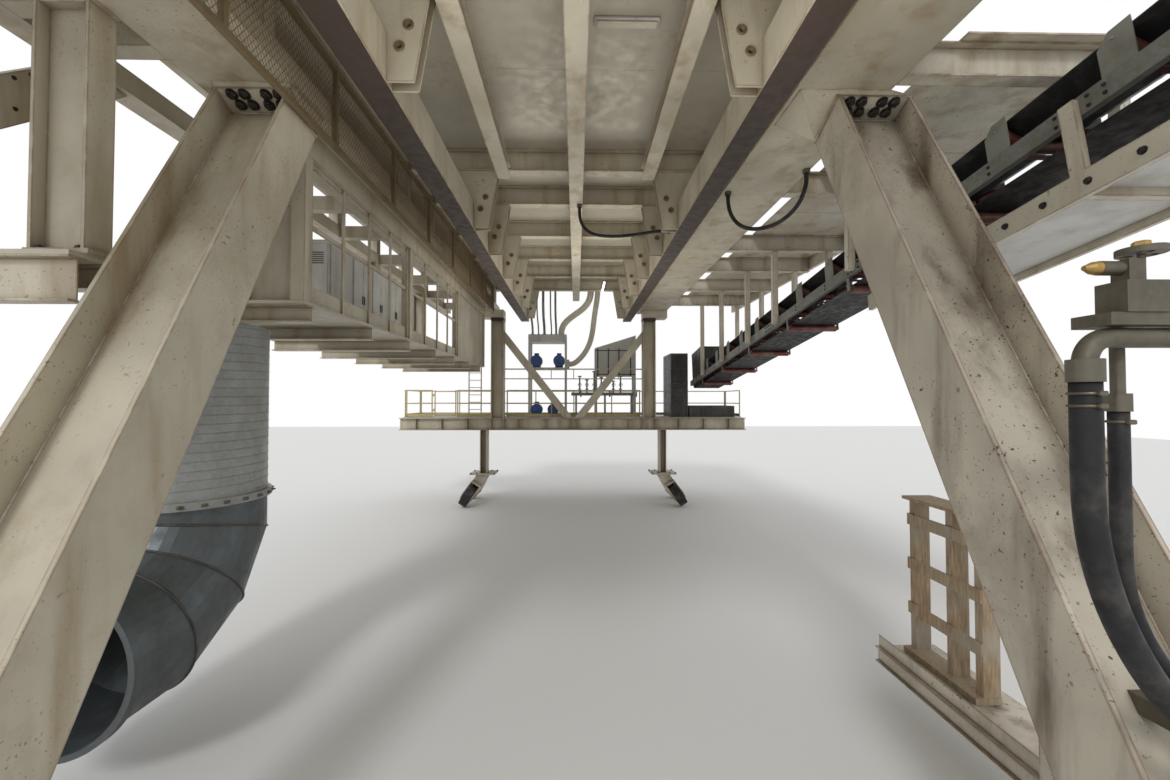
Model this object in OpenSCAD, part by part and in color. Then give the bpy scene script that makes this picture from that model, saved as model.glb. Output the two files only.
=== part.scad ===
// Backup gantry of a large tunnel boring machine: a wheeled portal frame that carries a deck,
// a windowed gallery, crane runways, a belt conveyor and an air duct along the finished tunnel.
// X points to the right, Y points forward along the tunnel and Z points up. Sizes are in millimetres.
// The origin lies under the middle of the gantry, on the surface that its wheels stand on.

/* [Gantry] */
// Length over the tow lugs, front to rear
gantry_length = 21000; // [20000:100:24000]
// Width over the front platform
gantry_width = 13700; // [13000:100:13900]
// Height of the underside of the two main girders
girder_z = 7600; // [7400:50:8200]
// Height of a main girder from its underside to the deck plates
girder_h = 1180; // [1000:20:1400]

/* [Main girders] */
// Distance from the middle of the gantry to the inner face of the right girder
girder_right_in = 2600; // [2500:10:2700]
// Width of the right box girder
girder_right_w = 1100; // [1000:10:1200]
// Distance from the middle of the gantry to the inner face of the left girder
girder_left_in = 3050; // [3000:10:3150]
// Width of the left open girder
girder_left_w = 1100; // [1000:10:1200]
// Height of the lower chord of the left girder
chord_low_h = 250; // [200:10:320]
// Height of the upper chords of the left girder
chord_high_h = 280; // [220:10:320]
// Width of the upper chords and of the outrigger beam
chord_w = 300; // [240:10:340]
// Wall of the box girders and chords
box_wall = 25; // [15:1:40]

/* [Rear legs] */
// Distance from the middle of the gantry to the inner flange of a rear leg
leg_in = 3100; // [3080:10:3150]
// Depth of a rear leg across the gantry, flange to flange
leg_depth = 850; // [700:10:950]
// Width of the flanges of a rear leg
leg_flange_w = 580; // [480:10:640]
// Thickness of the flanges of a leg
leg_flange_t = 40; // [25:1:60]
// Thickness of the web of a leg
leg_web_t = 30; // [20:1:50]
// Angle at which a rear leg leans forward from the vertical
leg_rake = 26.5; // [20:0.5:30]
// Place along the gantry of the middle of a rear leg's head
leg_head_y = -5050; // [-5400:10:-4700]
// Drop of the middle of a rear leg's head below the girders
leg_head_drop = 170; // [165:5:260]
// Height of the foot plates above the surface that the wheels stand on
foot_z = 1150; // [1120:10:1300]

/* [Front portal] */
// Distance from the gantry's front end to the middle of the portal
portal_inset = 2500; // [2400:50:2600]
// Distance from the middle of the gantry to the middle of a portal post
portal_x = 3000; // [2950:10:3050]
// Width of a portal post
portal_post_w = 500; // [400:10:560]
// Height of the platform floor above the surface that the wheels stand on
platform_z = 3360; // [3200:20:3600]
// Depth of the platform's cross beams
platform_beam_h = 480; // [360:20:560]
// Width of the slim posts under the platform
lower_post_w = 260; // [220:10:320]
// Width of the two braces that meet in the middle of the portal
brace_w = 280; // [220:10:320]
// Height at which the upper edge of a brace meets its post
brace_top_z = 6800; // [6400:50:7100]

/* [Running gear] */
// Diameter of a wheel over its tyre
wheel_d = 800; // [700:10:840]
// Width of a wheel
wheel_w = 300; // [220:10:340]
// Angle that the wheels lean so that they run square to the round tunnel wall
wheel_cant = 33; // [25:1:36]
// Distance between the two axles of a bogie
wheel_pitch = 1500; // [1200:20:1700]
// Diameter of an axle
axle_d = 120; // [90:2:150]
// Running clearance round an axle
axle_gap = 0.1; // [0.05:0.05:0.3]
// Thickness of a bogie's side plates
bogie_plate = 30; // [20:1:45]
// Clear space between a wheel and each side plate
wheel_side_gap = 20; // [10:1:30]

/* [Crane runways] */
// Offset of the middle of the two runways to the right
runway_mid = 100; // [60:10:120]
// Distance from the runways' middle to the middle of a runway beam
runway_x = 2080; // [2000:10:2120]
// Width of a runway beam, a welded box
runway_w = 320; // [280:10:360]
// Height of a runway beam
runway_h = 520; // [450:10:560]
// Drop of the underside of the runway beams below the girders
runway_drop = 340; // [300:10:380]

/* [Deck] */
// Depth of the cross beams under the deck
cross_h = 420; // [340:10:460]
// Flange width of the cross beams
cross_w = 220; // [160:10:300]
// Depth of the stringers that hang below the cross beams
stringer_h = 230; // [180:10:260]
// Thickness of the deck plates
deck_t = 20; // [12:1:30]
// Number of deck plates along the gantry
deck_plates = 9; // [6:1:12]
// Height of the guard rails
rail_h = 1100; // [1000:10:1200]
// Diameter of the guard rail tubes
rail_d = 48; // [38:1:60]

/* [Gallery] */
// Height of the gallery floor above the surface that the wheels stand on
gallery_z = 5340; // [5200:20:5500]
// Distance from the middle of the gantry to the inner face of the window wall
gallery_in = 3440; // [3400:10:3500]
// Thickness of the window wall
gallery_wall_t = 60; // [40:5:90]
// Distance from the middle of the gantry to the middle of the outer posts
gallery_out = 5200; // [5150:10:5300]
// Height of the fascia beam over the windows
fascia_h = 340; // [300:10:420]
// Width of the square posts between the wall sections
gallery_post_w = 180; // [140:10:220]
// Width of the door leaf
door_w = 720; // [650:10:760]
// Height of the door leaf
door_h = 1850; // [1700:10:1880]

/* [Conveyor] */
// Distance from the middle of the gantry to the inner stringer of the conveyor
conveyor_in = 4900; // [4850:10:4950]
// Distance between the outsides of the two conveyor stringers
conveyor_w = 1200; // [1100:10:1300]
// Angle at which the conveyor climbs towards the rear
conveyor_rise = 8; // [6:0.5:9]
// Height of the stringers' underside at the front portal
conveyor_z = 4760; // [4600:20:4900]
// Width of the belt measured flat across the gantry
belt_w = 1000; // [850:10:1050]
// Thickness of the belt
belt_t = 16; // [10:1:24]
// Diameter of the idler rollers
idler_d = 130; // [100:5:160]
// Distance between two sets of idlers
idler_pitch = 1200; // [900:50:1500]
// Depth of the arms that carry the conveyor from the right girder
arm_h = 380; // [320:10:420]
// Distance from the conveyor's middle to the ends of the arms
arm_reach = 1050; // [950:10:1100]

/* [Air duct] */
// Diameter of the air duct
duct_d = 1650; // [1400:10:1700]
// Sheet thickness of the duct
duct_t = 12; // [6:1:20]
// Number of mitred gores in the elbow
duct_gores = 3; // [2:1:5]
// Radius of the elbow to its middle line
duct_bend_r = 1350; // [1250:10:1400]
// Length of the straight end after the elbow
duct_end_l = 430; // [300:10:600]

/* [Hoses and side landing] */
// Diameter of the thick hose at the right
hose_thick_d = 120; // [100:5:120]
// Diameter of the thin hose at the right
hose_thin_d = 80; // [60:5:90]
// Diameter of the hanging cables
cable_d = 64; // [50:2:70]
// Height of the side landing above the surface that the wheels stand on
landing_z = 620; // [600:10:700]
// Width of the side landing
landing_w = 780; // [700:10:800]

/* [Hidden] */
$fn = 48;

half_l = gantry_length / 2;
half_w = gantry_width / 2;
portal_y = half_l - portal_inset;
seat = 0.3;  // gap between faces that only rest against each other
deck_z = girder_z + girder_h;  // underside of the deck plates
deck_top = deck_z + deck_t;
steel_back = -half_l + 260;  // rear ends of the girders, runways and deck
steel_front = portal_y + 600;  // front ends of the girders, runways and deck
steel_y = [steel_back, steel_front];

girder_right_out = girder_right_in + girder_right_w;
girder_left_out = girder_left_in + girder_left_w;
chord_low_top = girder_z + chord_low_h;
chord_high_z = deck_z - chord_high_h;
outrigger_x = gallery_out;

leg_x = leg_in + leg_depth / 2;
leg_out = leg_in + leg_depth;
leg_head_z = girder_z - leg_head_drop;
foot_plate_t = 50;
foot_y = leg_head_y - (leg_head_z - foot_z) * tan(leg_rake);

wheel_r = wheel_d / 2;
tyre_chamfer = 20;
wheel_z = wheel_r * cos(wheel_cant) + (wheel_w / 2 - tyre_chamfer) * sin(wheel_cant);
wheel_x = leg_x + (foot_z - wheel_z) * tan(wheel_cant);
// [side of the gantry, place along it]
BOGIES = [[-1, foot_y], [1, foot_y], [-1, portal_y], [1, portal_y]];

deck_bay = 2000;  // distance between two cross beams
CROSS_Y = concat(
    [steel_back + 140, steel_back + 140 + deck_bay + 100, leg_head_y - 700, -1750],
    [for (i = [4:-1:0]) steel_front - 850 - i * deck_bay]
);
cross_z = deck_z - cross_h;
runway_z = girder_z - runway_drop;
runway_top = runway_z + runway_h;

floor_t = 20;
platform_top = platform_z - floor_t;  // top of the platform's beams
platform_under = platform_top - platform_beam_h;
platform_front = half_l - 200;
platform_flange = 300;

gallery_floor_t = 40;
gallery_beam_h = 220;
gallery_beam_z = gallery_z - gallery_floor_t - gallery_beam_h;
gallery_back = leg_head_y - 1450;
GALLERY_POST_Y = [for (y = [650, 4450, 8450, 12250]) leg_head_y + y];  // posts along the window wall
gallery_run = [GALLERY_POST_Y[0] - gallery_post_w / 2, GALLERY_POST_Y[3] + gallery_post_w / 2];
OUTER_POST_Y = [for (y = [3050, 6650, 10250]) leg_head_y + y];  // H posts along the outside
fascia_z = girder_z - fascia_h;
column_y = gallery_back + 239;  // the heavy column behind the gallery's rear end
column_x = gallery_out - 750;

ladder_w = 500;
ladder_x = -girder_left_out - 150;  // left side rail of the ladder at the front end

// A box between two corners, given as [from, to] on each axis
module block(x, y, z) {
    translate([x[0], y[0], z[0]])
        cube([x[1] - x[0], y[1] - y[0], z[1] - z[0]]);
}

// An I outline whose foot lies on the first axis
function i_outline(h, w, tf, tw) = [
    [-w / 2, 0], [w / 2, 0], [w / 2, tf], [tw / 2, tf], [tw / 2, h - tf], [w / 2, h - tf],
    [w / 2, h], [-w / 2, h], [-w / 2, h - tf], [-tw / 2, h - tf], [-tw / 2, tf], [-w / 2, tf]
];

// A channel outline with its back on the upright axis, open towards side
function c_outline(h, w, t, side) = [
    [0, 0], [side * w, 0], [side * w, t], [side * t, t],
    [side * t, h - t], [side * w, h - t], [side * w, h], [0, h]
];

// An upright outline in X and Z, drawn along Y
module along_y(y) {
    translate([0, y[1], 0])
        rotate([90, 0, 0])
            linear_extrude(y[1] - y[0])
                children();
}

// An upright outline in Y and Z, drawn along X
module along_x(x) {
    translate([x[0], 0, 0])
        rotate([90, 0, 90])
            linear_extrude(x[1] - x[0])
                children();
}

module i_beam_y(x, y, z, h, w, tf, tw) {
    along_y(y)
        translate([x, z])
            polygon(i_outline(h, w, tf, tw));
}

module i_beam_x(x, y, z, h, w, tf, tw) {
    along_x(x)
        translate([y, z])
            polygon(i_outline(h, w, tf, tw));
}

// A hollow box beam along Y with end plates
module box_beam_y(x, y, z, wall) {
    difference() {
        block(x, y, z);
        block([x[0] + wall, x[1] - wall], [y[0] + wall, y[1] - wall], [z[0] + wall, z[1] - wall]);
    }
}

// An upright H post whose flanges face along X
module h_post(x, y, z, depth, width, tf, tw) {
    translate([x - depth / 2, y, z[0]])
        rotate([0, 0, -90])
            linear_extrude(z[1] - z[0])
                polygon(i_outline(depth, width, tf, tw));
}

module mirrored(side) {
    mirror([side < 0 ? 1 : 0, 0, 0])
        children();
}

module steel() {
    color([0.86, 0.84, 0.76])
        children();
}

function unit(v) = v / norm(v);

function tangent(p, i) = unit(p[min(i + 1, len(p) - 1)] - p[max(i - 1, 0)]);

// A ring round point i of a route; across is a direction that the route never takes
function route_ring(p, i, r, across, sides) =
    let (t = tangent(p, i), n = unit(cross(across, t)), b = cross(t, n))
    [for (k = [0:sides - 1]) p[i] + r * (cos(360 * k / sides) * n + sin(360 * k / sides) * b)];

// A tube swept along a route, closed at both ends
module tube(route, d, across, sides = 10) {
    last = len(route) - 1;
    rings = [for (i = [0:last]) each route_ring(route, i, d / 2, across, sides)];
    skin = [
        for (i = [0:last - 1], k = [0:sides - 1])
            let (a = i * sides + k, b = i * sides + (k + 1) % sides)
            each [[a, a + sides, b + sides], [a, b + sides, b]]
    ];
    ends = [[for (k = [0:sides - 1]) k], [for (k = [sides - 1:-1:0]) last * sides + k]];
    polyhedron(points = rings, faces = concat(skin, ends));
}

// Main frame

module girder_left() {
    steel() {
        box_beam_y([-girder_left_out, -girder_left_in], steel_y, [girder_z, chord_low_top], box_wall);
        for (x = [-girder_left_in - chord_w, -girder_left_out])
            box_beam_y([x, x + chord_w], steel_y, [chord_high_z, deck_z], box_wall);
    }
}

module girder_left_posts() {
    post_w = 180;
    steel()
        for (y = CROSS_Y, x = [-girder_left_in - post_w, -girder_left_out])
            block([x, x + post_w], [y - post_w / 2, y + post_w / 2], [chord_low_top, chord_high_z]);
}

module girder_right() {
    steel()
        box_beam_y([girder_right_in, girder_right_out], steel_y, [girder_z, deck_z], box_wall);
}

module outrigger_left() {
    steel()
        for (z = [[girder_z, chord_low_top], [chord_high_z, deck_z]])
            box_beam_y([-outrigger_x - chord_w / 2, -outrigger_x + chord_w / 2], steel_y, z, box_wall);
}

module outrigger_ties() {
    tie_w = 200;
    steel() {
        for (y = concat(CROSS_Y, column_y), z = [[girder_z, chord_low_top], [chord_high_z, deck_z]])
            block([-outrigger_x + chord_w / 2, -girder_left_out], [y - tie_w / 2, y + tie_w / 2], z);
        for (y = CROSS_Y)
            block([-outrigger_x - tie_w / 2, -outrigger_x + tie_w / 2], [y - tie_w / 2, y + tie_w / 2],
                [chord_low_top, chord_high_z]);
    }
}

// A rear leg is drawn upright under its head, then raked and moved to its place
module leg_frame(side) {
    mirrored(side)
        translate([leg_x, leg_head_y, leg_head_z])
            rotate([-leg_rake, 0, 0])
                children();
}

// The welded piece between a girder and the head of a rear leg: [side, inner end, outer end at the girder]
LEG_HEADS = [[-1, leg_in, leg_out], [1, girder_right_in + 50, girder_right_out]];

module leg_heads() {
    skin = 1;
    front = leg_flange_w / 2 + 120;
    steel()
        for (h = LEG_HEADS)
            hull() {
                leg_frame(h[0])
                    translate([-leg_depth / 2, -leg_flange_w / 2, seat])
                        cube([leg_depth, leg_flange_w, skin]);
                mirrored(h[0])
                    block([h[1], h[2]], [leg_head_y - leg_flange_w / 2, leg_head_y + front],
                        [girder_z - skin, girder_z]);
            }
}

// The plate by which a leg stands on its bogie
module foot_plate(y) {
    lip = 60;
    half = 450;
    block([leg_in - lip, leg_out + lip], [y - half, y + half], [foot_z, foot_z + foot_plate_t]);
}

module rear_leg(side) {
    leg_l = (leg_head_z - foot_z) / cos(leg_rake) + leg_flange_w;
    head_t = 40;
    head_lip = 20;
    steel()
        difference() {
            union() {
                leg_frame(side) {
                    translate([leg_depth / 2, 0, -leg_l])
                        rotate(90)
                            linear_extrude(leg_l)
                                polygon(i_outline(leg_depth, leg_flange_w, leg_flange_t, leg_web_t));
                    translate([-leg_depth / 2 - head_lip, -leg_flange_w / 2, -head_t])
                        cube([leg_depth + 2 * head_lip, leg_flange_w, head_t]);
                }
                mirrored(side)
                    foot_plate(foot_y);
            }
            mirrored(side)
                block([leg_in - leg_depth, leg_out + leg_depth], [-2 * half_l, 0], [-foot_z, foot_z]);
        }
}

module leg_rear_left() {
    rear_leg(-1);
}

module leg_rear_right() {
    rear_leg(1);
}

// The posts go on below the platform to the bogies
module portal_posts() {
    cap_h = 300;
    cap_l = 600;
    steel()
        for (side = [-1, 1]) {
            out = side < 0 ? girder_left_out : girder_right_out;
            mirrored(side) {
                h_post(portal_x, portal_y, [platform_top, girder_z - cap_h],
                    portal_post_w, portal_post_w - 60, 35, 30);
                block([portal_x - portal_post_w / 2, out], [portal_y - cap_l / 2, portal_y + cap_l / 2],
                    [girder_z - cap_h, girder_z]);
                h_post(leg_x, portal_y, [foot_z + foot_plate_t, platform_under],
                    lower_post_w, portal_post_w, 30, 25);
                foot_plate(portal_y);
            }
        }
}

// Two braces rise from the middle of the platform to the posts
module portal_brace() {
    foot_x = 30;
    post_in = portal_x - portal_post_w / 2;
    rise = atan2(brace_top_z - platform_top, post_in - foot_x);
    steel()
        for (side = [-1, 1])
            mirrored(side)
                along_y([portal_y - 110, portal_y + 110])
                    polygon([
                        [foot_x, platform_top], [foot_x + brace_w / sin(rise), platform_top],
                        [post_in, brace_top_z - brace_w / cos(rise)], [post_in, brace_top_z]
                    ]);
}

module platform_beams() {
    bearer_w = 120;
    bearers = 10;
    end_in = 300;
    pitch = (gantry_width - 2 * end_in) / bearers;
    front_y = platform_front - platform_flange / 2 - 50;
    steel() {
        for (y = [portal_y, front_y])
            i_beam_x([-half_w, half_w], y, platform_under, platform_beam_h, platform_flange, 30, 20);
        for (i = [0:bearers])
            translate([-half_w + end_in + i * pitch, 0, 0])
                block([-bearer_w / 2, bearer_w / 2],
                    [portal_y + platform_flange / 2 + seat, front_y - platform_flange / 2 - seat],
                    [platform_under + platform_beam_h / 3, platform_top]);
    }
}

module platform_floor() {
    plates = 6;
    joint = 6;
    plate_l = gantry_width / plates;
    steel()
        for (i = [0:plates - 1])
            block([-half_w + i * plate_l + joint / 2, -half_w + (i + 1) * plate_l - joint / 2],
                [portal_y + portal_post_w / 2 + 10, platform_front], [platform_top, platform_z]);
}

// A guard rail along X from the origin, with posts, two rails and a toe board
module guard_rail(l, h) {
    n = max(1, round(l / 1600));
    for (i = [0:n])
        translate([rail_d / 2 + i * (l - rail_d) / n, 0, 0])
            cylinder(h = h - rail_d / 2, d = rail_d);
    for (z = [h / 2, h - rail_d / 2])
        translate([0, 0, z])
            rotate([0, 90, 0])
                cylinder(h = l, d = rail_d * 0.85);
    translate([0, -4, 15])
        cube([l, 8, 120]);
}

rail_in = 60;  // distance of a rail from the floor's edge
rail_back_y = portal_y + 300;
gate_w = 900;
gate_x = -half_w + 1250;
gate_pin_x = gate_x - 35;
gate_pin_d = 24;
GATE_PIN_Z = [250, 850];
// Rails of the platform's rear edge: [from, to] along X
BACK_RAILS = [
    [-half_w + 2 * rail_in, gate_x - 70], [gate_x + gate_w + 10, -portal_x - 300],
    [-portal_x + 300, portal_x - 300]
];

module platform_rails() {
    color([0.80, 0.72, 0.36]) {
        translate([-half_w + rail_in, platform_front - rail_in, platform_z])
            guard_rail(gantry_width - 2 * rail_in, rail_h);
        for (x = [-half_w + rail_in, half_w - rail_in])
            translate([x, rail_back_y + rail_in, platform_z])
                rotate([0, 0, 90])
                    guard_rail(platform_front - rail_back_y - 3 * rail_in, rail_h);
        for (r = BACK_RAILS)
            translate([r[0], rail_back_y, platform_z])
                guard_rail(r[1] - r[0], rail_h);
        for (z = GATE_PIN_Z)
            translate([gate_pin_x, rail_back_y, platform_z + z])
                gate_pin();
    }
}

// A hinge pin that stands on a small lug welded to the rail's end post
module gate_pin() {
    cylinder(h = 90, d = gate_pin_d);
    block([-50, 20], [-12, 12], [-16, 0]);
}

module platform_gate() {
    sleeve_d = gate_pin_d + 24;
    color([0.80, 0.72, 0.36])
        translate([gate_x, rail_back_y, platform_z])
            difference() {
                union() {
                    translate([0, 0, 40])
                        gate_frame();
                    for (z = GATE_PIN_Z)
                        translate([gate_pin_x - gate_x, 0, z + seat]) {
                            cylinder(h = 70, d = sleeve_d);
                            block([0, 60], [-8, 8], [10, 60]);
                        }
                }
                for (z = GATE_PIN_Z)
                    translate([gate_pin_x - gate_x, 0, z - 1])
                        cylinder(h = 100, d = gate_pin_d + 2 * axle_gap);
            }
}

module gate_frame() {
    h = rail_h - 60;
    for (x = [rail_d / 2, gate_w - rail_d / 2 - 20])
        translate([x, 0, 0])
            cylinder(h = h, d = rail_d);
    for (z = [rail_d, h / 2, h - rail_d])
        translate([rail_d / 2, 0, z])
            rotate([0, 90, 0])
                cylinder(h = gate_w - rail_d - 20, d = rail_d * 0.85);
}

// Running gear

module canted(y) {
    translate([wheel_x, y, wheel_z])
        rotate([0, -wheel_cant, 0])
            children();
}

module bogie(side, y) {
    inner = wheel_w / 2 + wheel_side_gap;
    outer = inner + bogie_plate;
    end_y = wheel_pitch / 2 + 260;
    crown = wheel_r + 90;
    mirrored(side)
        color([0.78, 0.76, 0.68]) {
            difference() {
                canted(y) {
                    for (x = [-outer, inner])
                        along_x([x, x + bogie_plate])
                            polygon([
                                [-end_y, -130], [-end_y + 520, -130], [-end_y + 620, 40], [end_y - 620, 40],
                                [end_y - 520, -130], [end_y, -130], [end_y, 160], [end_y - 330, crown],
                                [-end_y + 330, crown], [-end_y, 160]
                            ]);
                    block([-outer, outer], [-end_y + 330, end_y - 330], [crown, crown + 40]);
                    block([-outer, outer], [-330, 330], [crown + 40, 2 * foot_z]);
                }
                canted(y)
                    for (w = [-1, 1])
                        translate([-outer - 1, w * wheel_pitch / 2, 0])
                            rotate([0, 90, 0])
                                cylinder(h = 2 * outer + 2, d = axle_d + 2 * axle_gap);
                block([0, half_w], [y - end_y, y + end_y], [foot_z, 3 * foot_z]);
            }
            canted(y)
                for (w = [-1, 1])
                    translate([-outer - 25, w * wheel_pitch / 2, 0])
                        rotate([0, 90, 0])
                            cylinder(h = 2 * outer + 50, d = axle_d);
        }
}

module bogies() {
    for (b = BOGIES)
        bogie(b[0], b[1]);
}

// One wheel: hub, web with holes, rim and tyre turned about the axle
module wheel(side, y) {
    hub_d = axle_d + 110;
    hub_w = wheel_w + wheel_side_gap;
    rim_t = 70;
    web_w = 60;
    bore_r = axle_d / 2 + axle_gap;
    HALF = [
        [bore_r, -hub_w / 2], [hub_d / 2, -hub_w / 2], [hub_d / 2, -web_w / 2], [wheel_r - rim_t, -web_w / 2],
        [wheel_r - rim_t, -wheel_w / 2], [wheel_r - tyre_chamfer, -wheel_w / 2],
        [wheel_r, -wheel_w / 2 + tyre_chamfer]
    ];
    mirrored(side)
        canted(y)
            rotate([0, 90, 0])
                color([0.16, 0.16, 0.17])
                    difference() {
                        rotate_extrude($fn = 96)
                            polygon(concat(HALF, [for (i = [len(HALF) - 1:-1:0]) [HALF[i][0], -HALF[i][1]]]));
                        for (a = [0:60:300])
                            rotate(a)
                                translate([(hub_d / 2 + wheel_r - rim_t) / 2, 0, -web_w])
                                    cylinder(h = 2 * web_w, d = 110);
                    }
}

module numbered_wheel(n) {
    b = BOGIES[floor((n - 1) / 2)];
    wheel(b[0], b[1] + (n % 2 == 1 ? -1 : 1) * wheel_pitch / 2);
}

module wheel_1()
    numbered_wheel(1);
module wheel_2()
    numbered_wheel(2);
module wheel_3()
    numbered_wheel(3);
module wheel_4()
    numbered_wheel(4);
module wheel_5()
    numbered_wheel(5);
module wheel_6()
    numbered_wheel(6);
module wheel_7()
    numbered_wheel(7);
module wheel_8()
    numbered_wheel(8);

// Crane runways and deck

module runways() {
    steel()
        for (side = [-1, 1])
            translate([runway_mid + side * runway_x, 0, 0])
                box_beam_y([-runway_w / 2, runway_w / 2], [steel_back, steel_front - 100],
                    [runway_z, runway_top], box_wall);
}

// Pairs of plates that grip a runway beam from its inner side, with two holes for a sling
module runway_hangers() {
    plate_t = 30;
    pair = 90;  // distance from the cross beam's middle to a plate's outer face
    out = runway_w / 2;
    low = runway_z + 20;
    foot = out + 280;
    head = out + 460;
    hole_d = 60;
    HOLES = [[-out - 130, runway_top - 140], [-out - 220, runway_top + 82]];
    steel()
        for (y = CROSS_Y, side = [-1, 1])
            translate([runway_mid + side * runway_x, y, 0])
                mirrored(side) {
                    for (dy = [-pair, pair - plate_t])
                        along_y([dy, dy + plate_t])
                            difference() {
                                polygon([
                                    [-head, cross_z], [out, cross_z], [out, runway_top], [-out, runway_top],
                                    [-out, low], [-foot, low]
                                ]);
                                for (h = HOLES)
                                    translate(h)
                                        circle(d = hole_d);
                            }
                    block([-plate_t / 2, plate_t / 2], [plate_t - pair, pair - plate_t],
                        [runway_top, cross_z]);
                }
}

module cross_beams() {
    steel()
        for (y = CROSS_Y)
            i_beam_x([-girder_left_in, girder_right_in], y, cross_z, cross_h, cross_w, 25, 16);
}

// [offset from the runways' middle, flange width, front end]
STRINGERS = [[-1320, 240, -2000], [0, 270, steel_front], [1320, 240, -2000]];

module deck_stringers() {
    steel()
        for (s = STRINGERS)
            i_beam_y(runway_mid + s[0], [steel_back, s[2]], cross_z - stringer_h, stringer_h, s[1], 20, 14);
}

module deck_panels() {
    bay = (steel_front - steel_back) / deck_plates;
    joint = 6;
    color([0.72, 0.70, 0.62])
        for (y = [for (i = [0:deck_plates - 1]) steel_back + i * bay])
            block([-outrigger_x - chord_w / 2, girder_right_out], [y + joint / 2, y + bay - joint / 2],
                [deck_z, deck_top]);
}

// Rails across the deck's ends: [from, to, place along the gantry]
END_RAILS = [
    [-outrigger_x + 60, girder_right_out - 240, steel_back + 60],
    [-outrigger_x + 60, ladder_x - 60, steel_front - 60],
    [ladder_x + ladder_w + 60, girder_right_out - 240, steel_front - 60]
];

module deck_rails() {
    color([0.80, 0.72, 0.36]) {
        for (x = [-outrigger_x - chord_w / 2 + 60, girder_right_out - 60])
            translate([x, steel_back + 100, deck_top])
                rotate([0, 0, 90])
                    guard_rail(steel_front - steel_back - 200, rail_h);
        for (r = END_RAILS)
            translate([r[0], r[2], deck_top])
                guard_rail(r[1] - r[0], rail_h);
    }
}

guard_back = steel_back;
guard_front = steel_front - 1600;
guard_low = girder_z - 300;
guard_high = cross_z;
guard_t = 60;
guard_bays = 9;
guard_bay = (guard_front - guard_back) / guard_bays;

module mesh_guard_frame() {
    x0 = -girder_left_in;
    steel()
        along_x([x0, x0 + guard_t])
            difference() {
                translate([guard_back, guard_low])
                    square([guard_front - guard_back, guard_high - guard_low]);
                for (i = [0:guard_bays - 1])
                    translate([guard_back + i * guard_bay + guard_t / 2, guard_low + guard_t])
                        square([guard_bay - guard_t, guard_high - guard_low - 2 * guard_t]);
            }
}

module mesh_guard_panels() {
    mesh_t = 8;
    x0 = -girder_left_in + guard_t / 2 - mesh_t / 2;
    panel_l = guard_bay - guard_t - 2 * seat;
    panel_h = guard_high - guard_low - 2 * guard_t - 2 * seat;
    cols = 6;
    rows = 3;
    step_y = (panel_l - 60) / cols;
    step_z = (panel_h - 60) / rows;
    bar = 16;
    color([0.72, 0.66, 0.50])
        for (i = [0:guard_bays - 1])
            along_x([x0, x0 + mesh_t])
                translate([guard_back + i * guard_bay + guard_t / 2 + seat, guard_low + guard_t + seat])
                    difference() {
                        square([panel_l, panel_h]);
                        for (c = [0:cols - 1], r = [0:rows - 1])
                            translate([30 + (c + 0.5) * step_y, 30 + (r + 0.5) * step_z])
                                polygon([
                                    [-step_y / 2 + bar, 0], [0, -step_z / 2 + bar],
                                    [step_y / 2 - bar, 0], [0, step_z / 2 - bar]
                                ]);
                    }
}

// Gallery

module gallery_floor() {
    lip = 40;
    inner = -girder_left_out - 60;
    color([0.70, 0.68, 0.60])
        translate([0, 0, gallery_z - gallery_floor_t])
            linear_extrude(gallery_floor_t)
                polygon([
                    [-outrigger_x - 150, gallery_back], [inner, gallery_back],
                    [inner, gallery_run[0]], [-gallery_in + lip, gallery_run[0]],
                    [-gallery_in + lip, gallery_run[1]], [-outrigger_x - 150, gallery_run[1]]
                ]);
}

// Cross beams under the floor, and a deeper one along its rear edge
module gallery_beams() {
    pitch = 1800;
    rear_h = 400;
    inner = -girder_left_out - 60;
    steel() {
        for (i = [0:7]) {
            y = GALLERY_POST_Y[3] - 700 - i * pitch;
            i_beam_x([-outrigger_x - 1000, y < GALLERY_POST_Y[0] - cross_w ? inner : -gallery_in + 40], y,
                gallery_beam_z, gallery_beam_h, 180, 20, 12);
        }
        i_beam_x([-outrigger_x - 1000, inner], gallery_back + 75, gallery_z - gallery_floor_t - rear_h,
            rear_h, 150, 20, 12);
    }
}

module gallery_fascia() {
    steel()
        block([-gallery_in - 100, -gallery_in + 40], gallery_run, [fascia_z, girder_z]);
}

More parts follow.
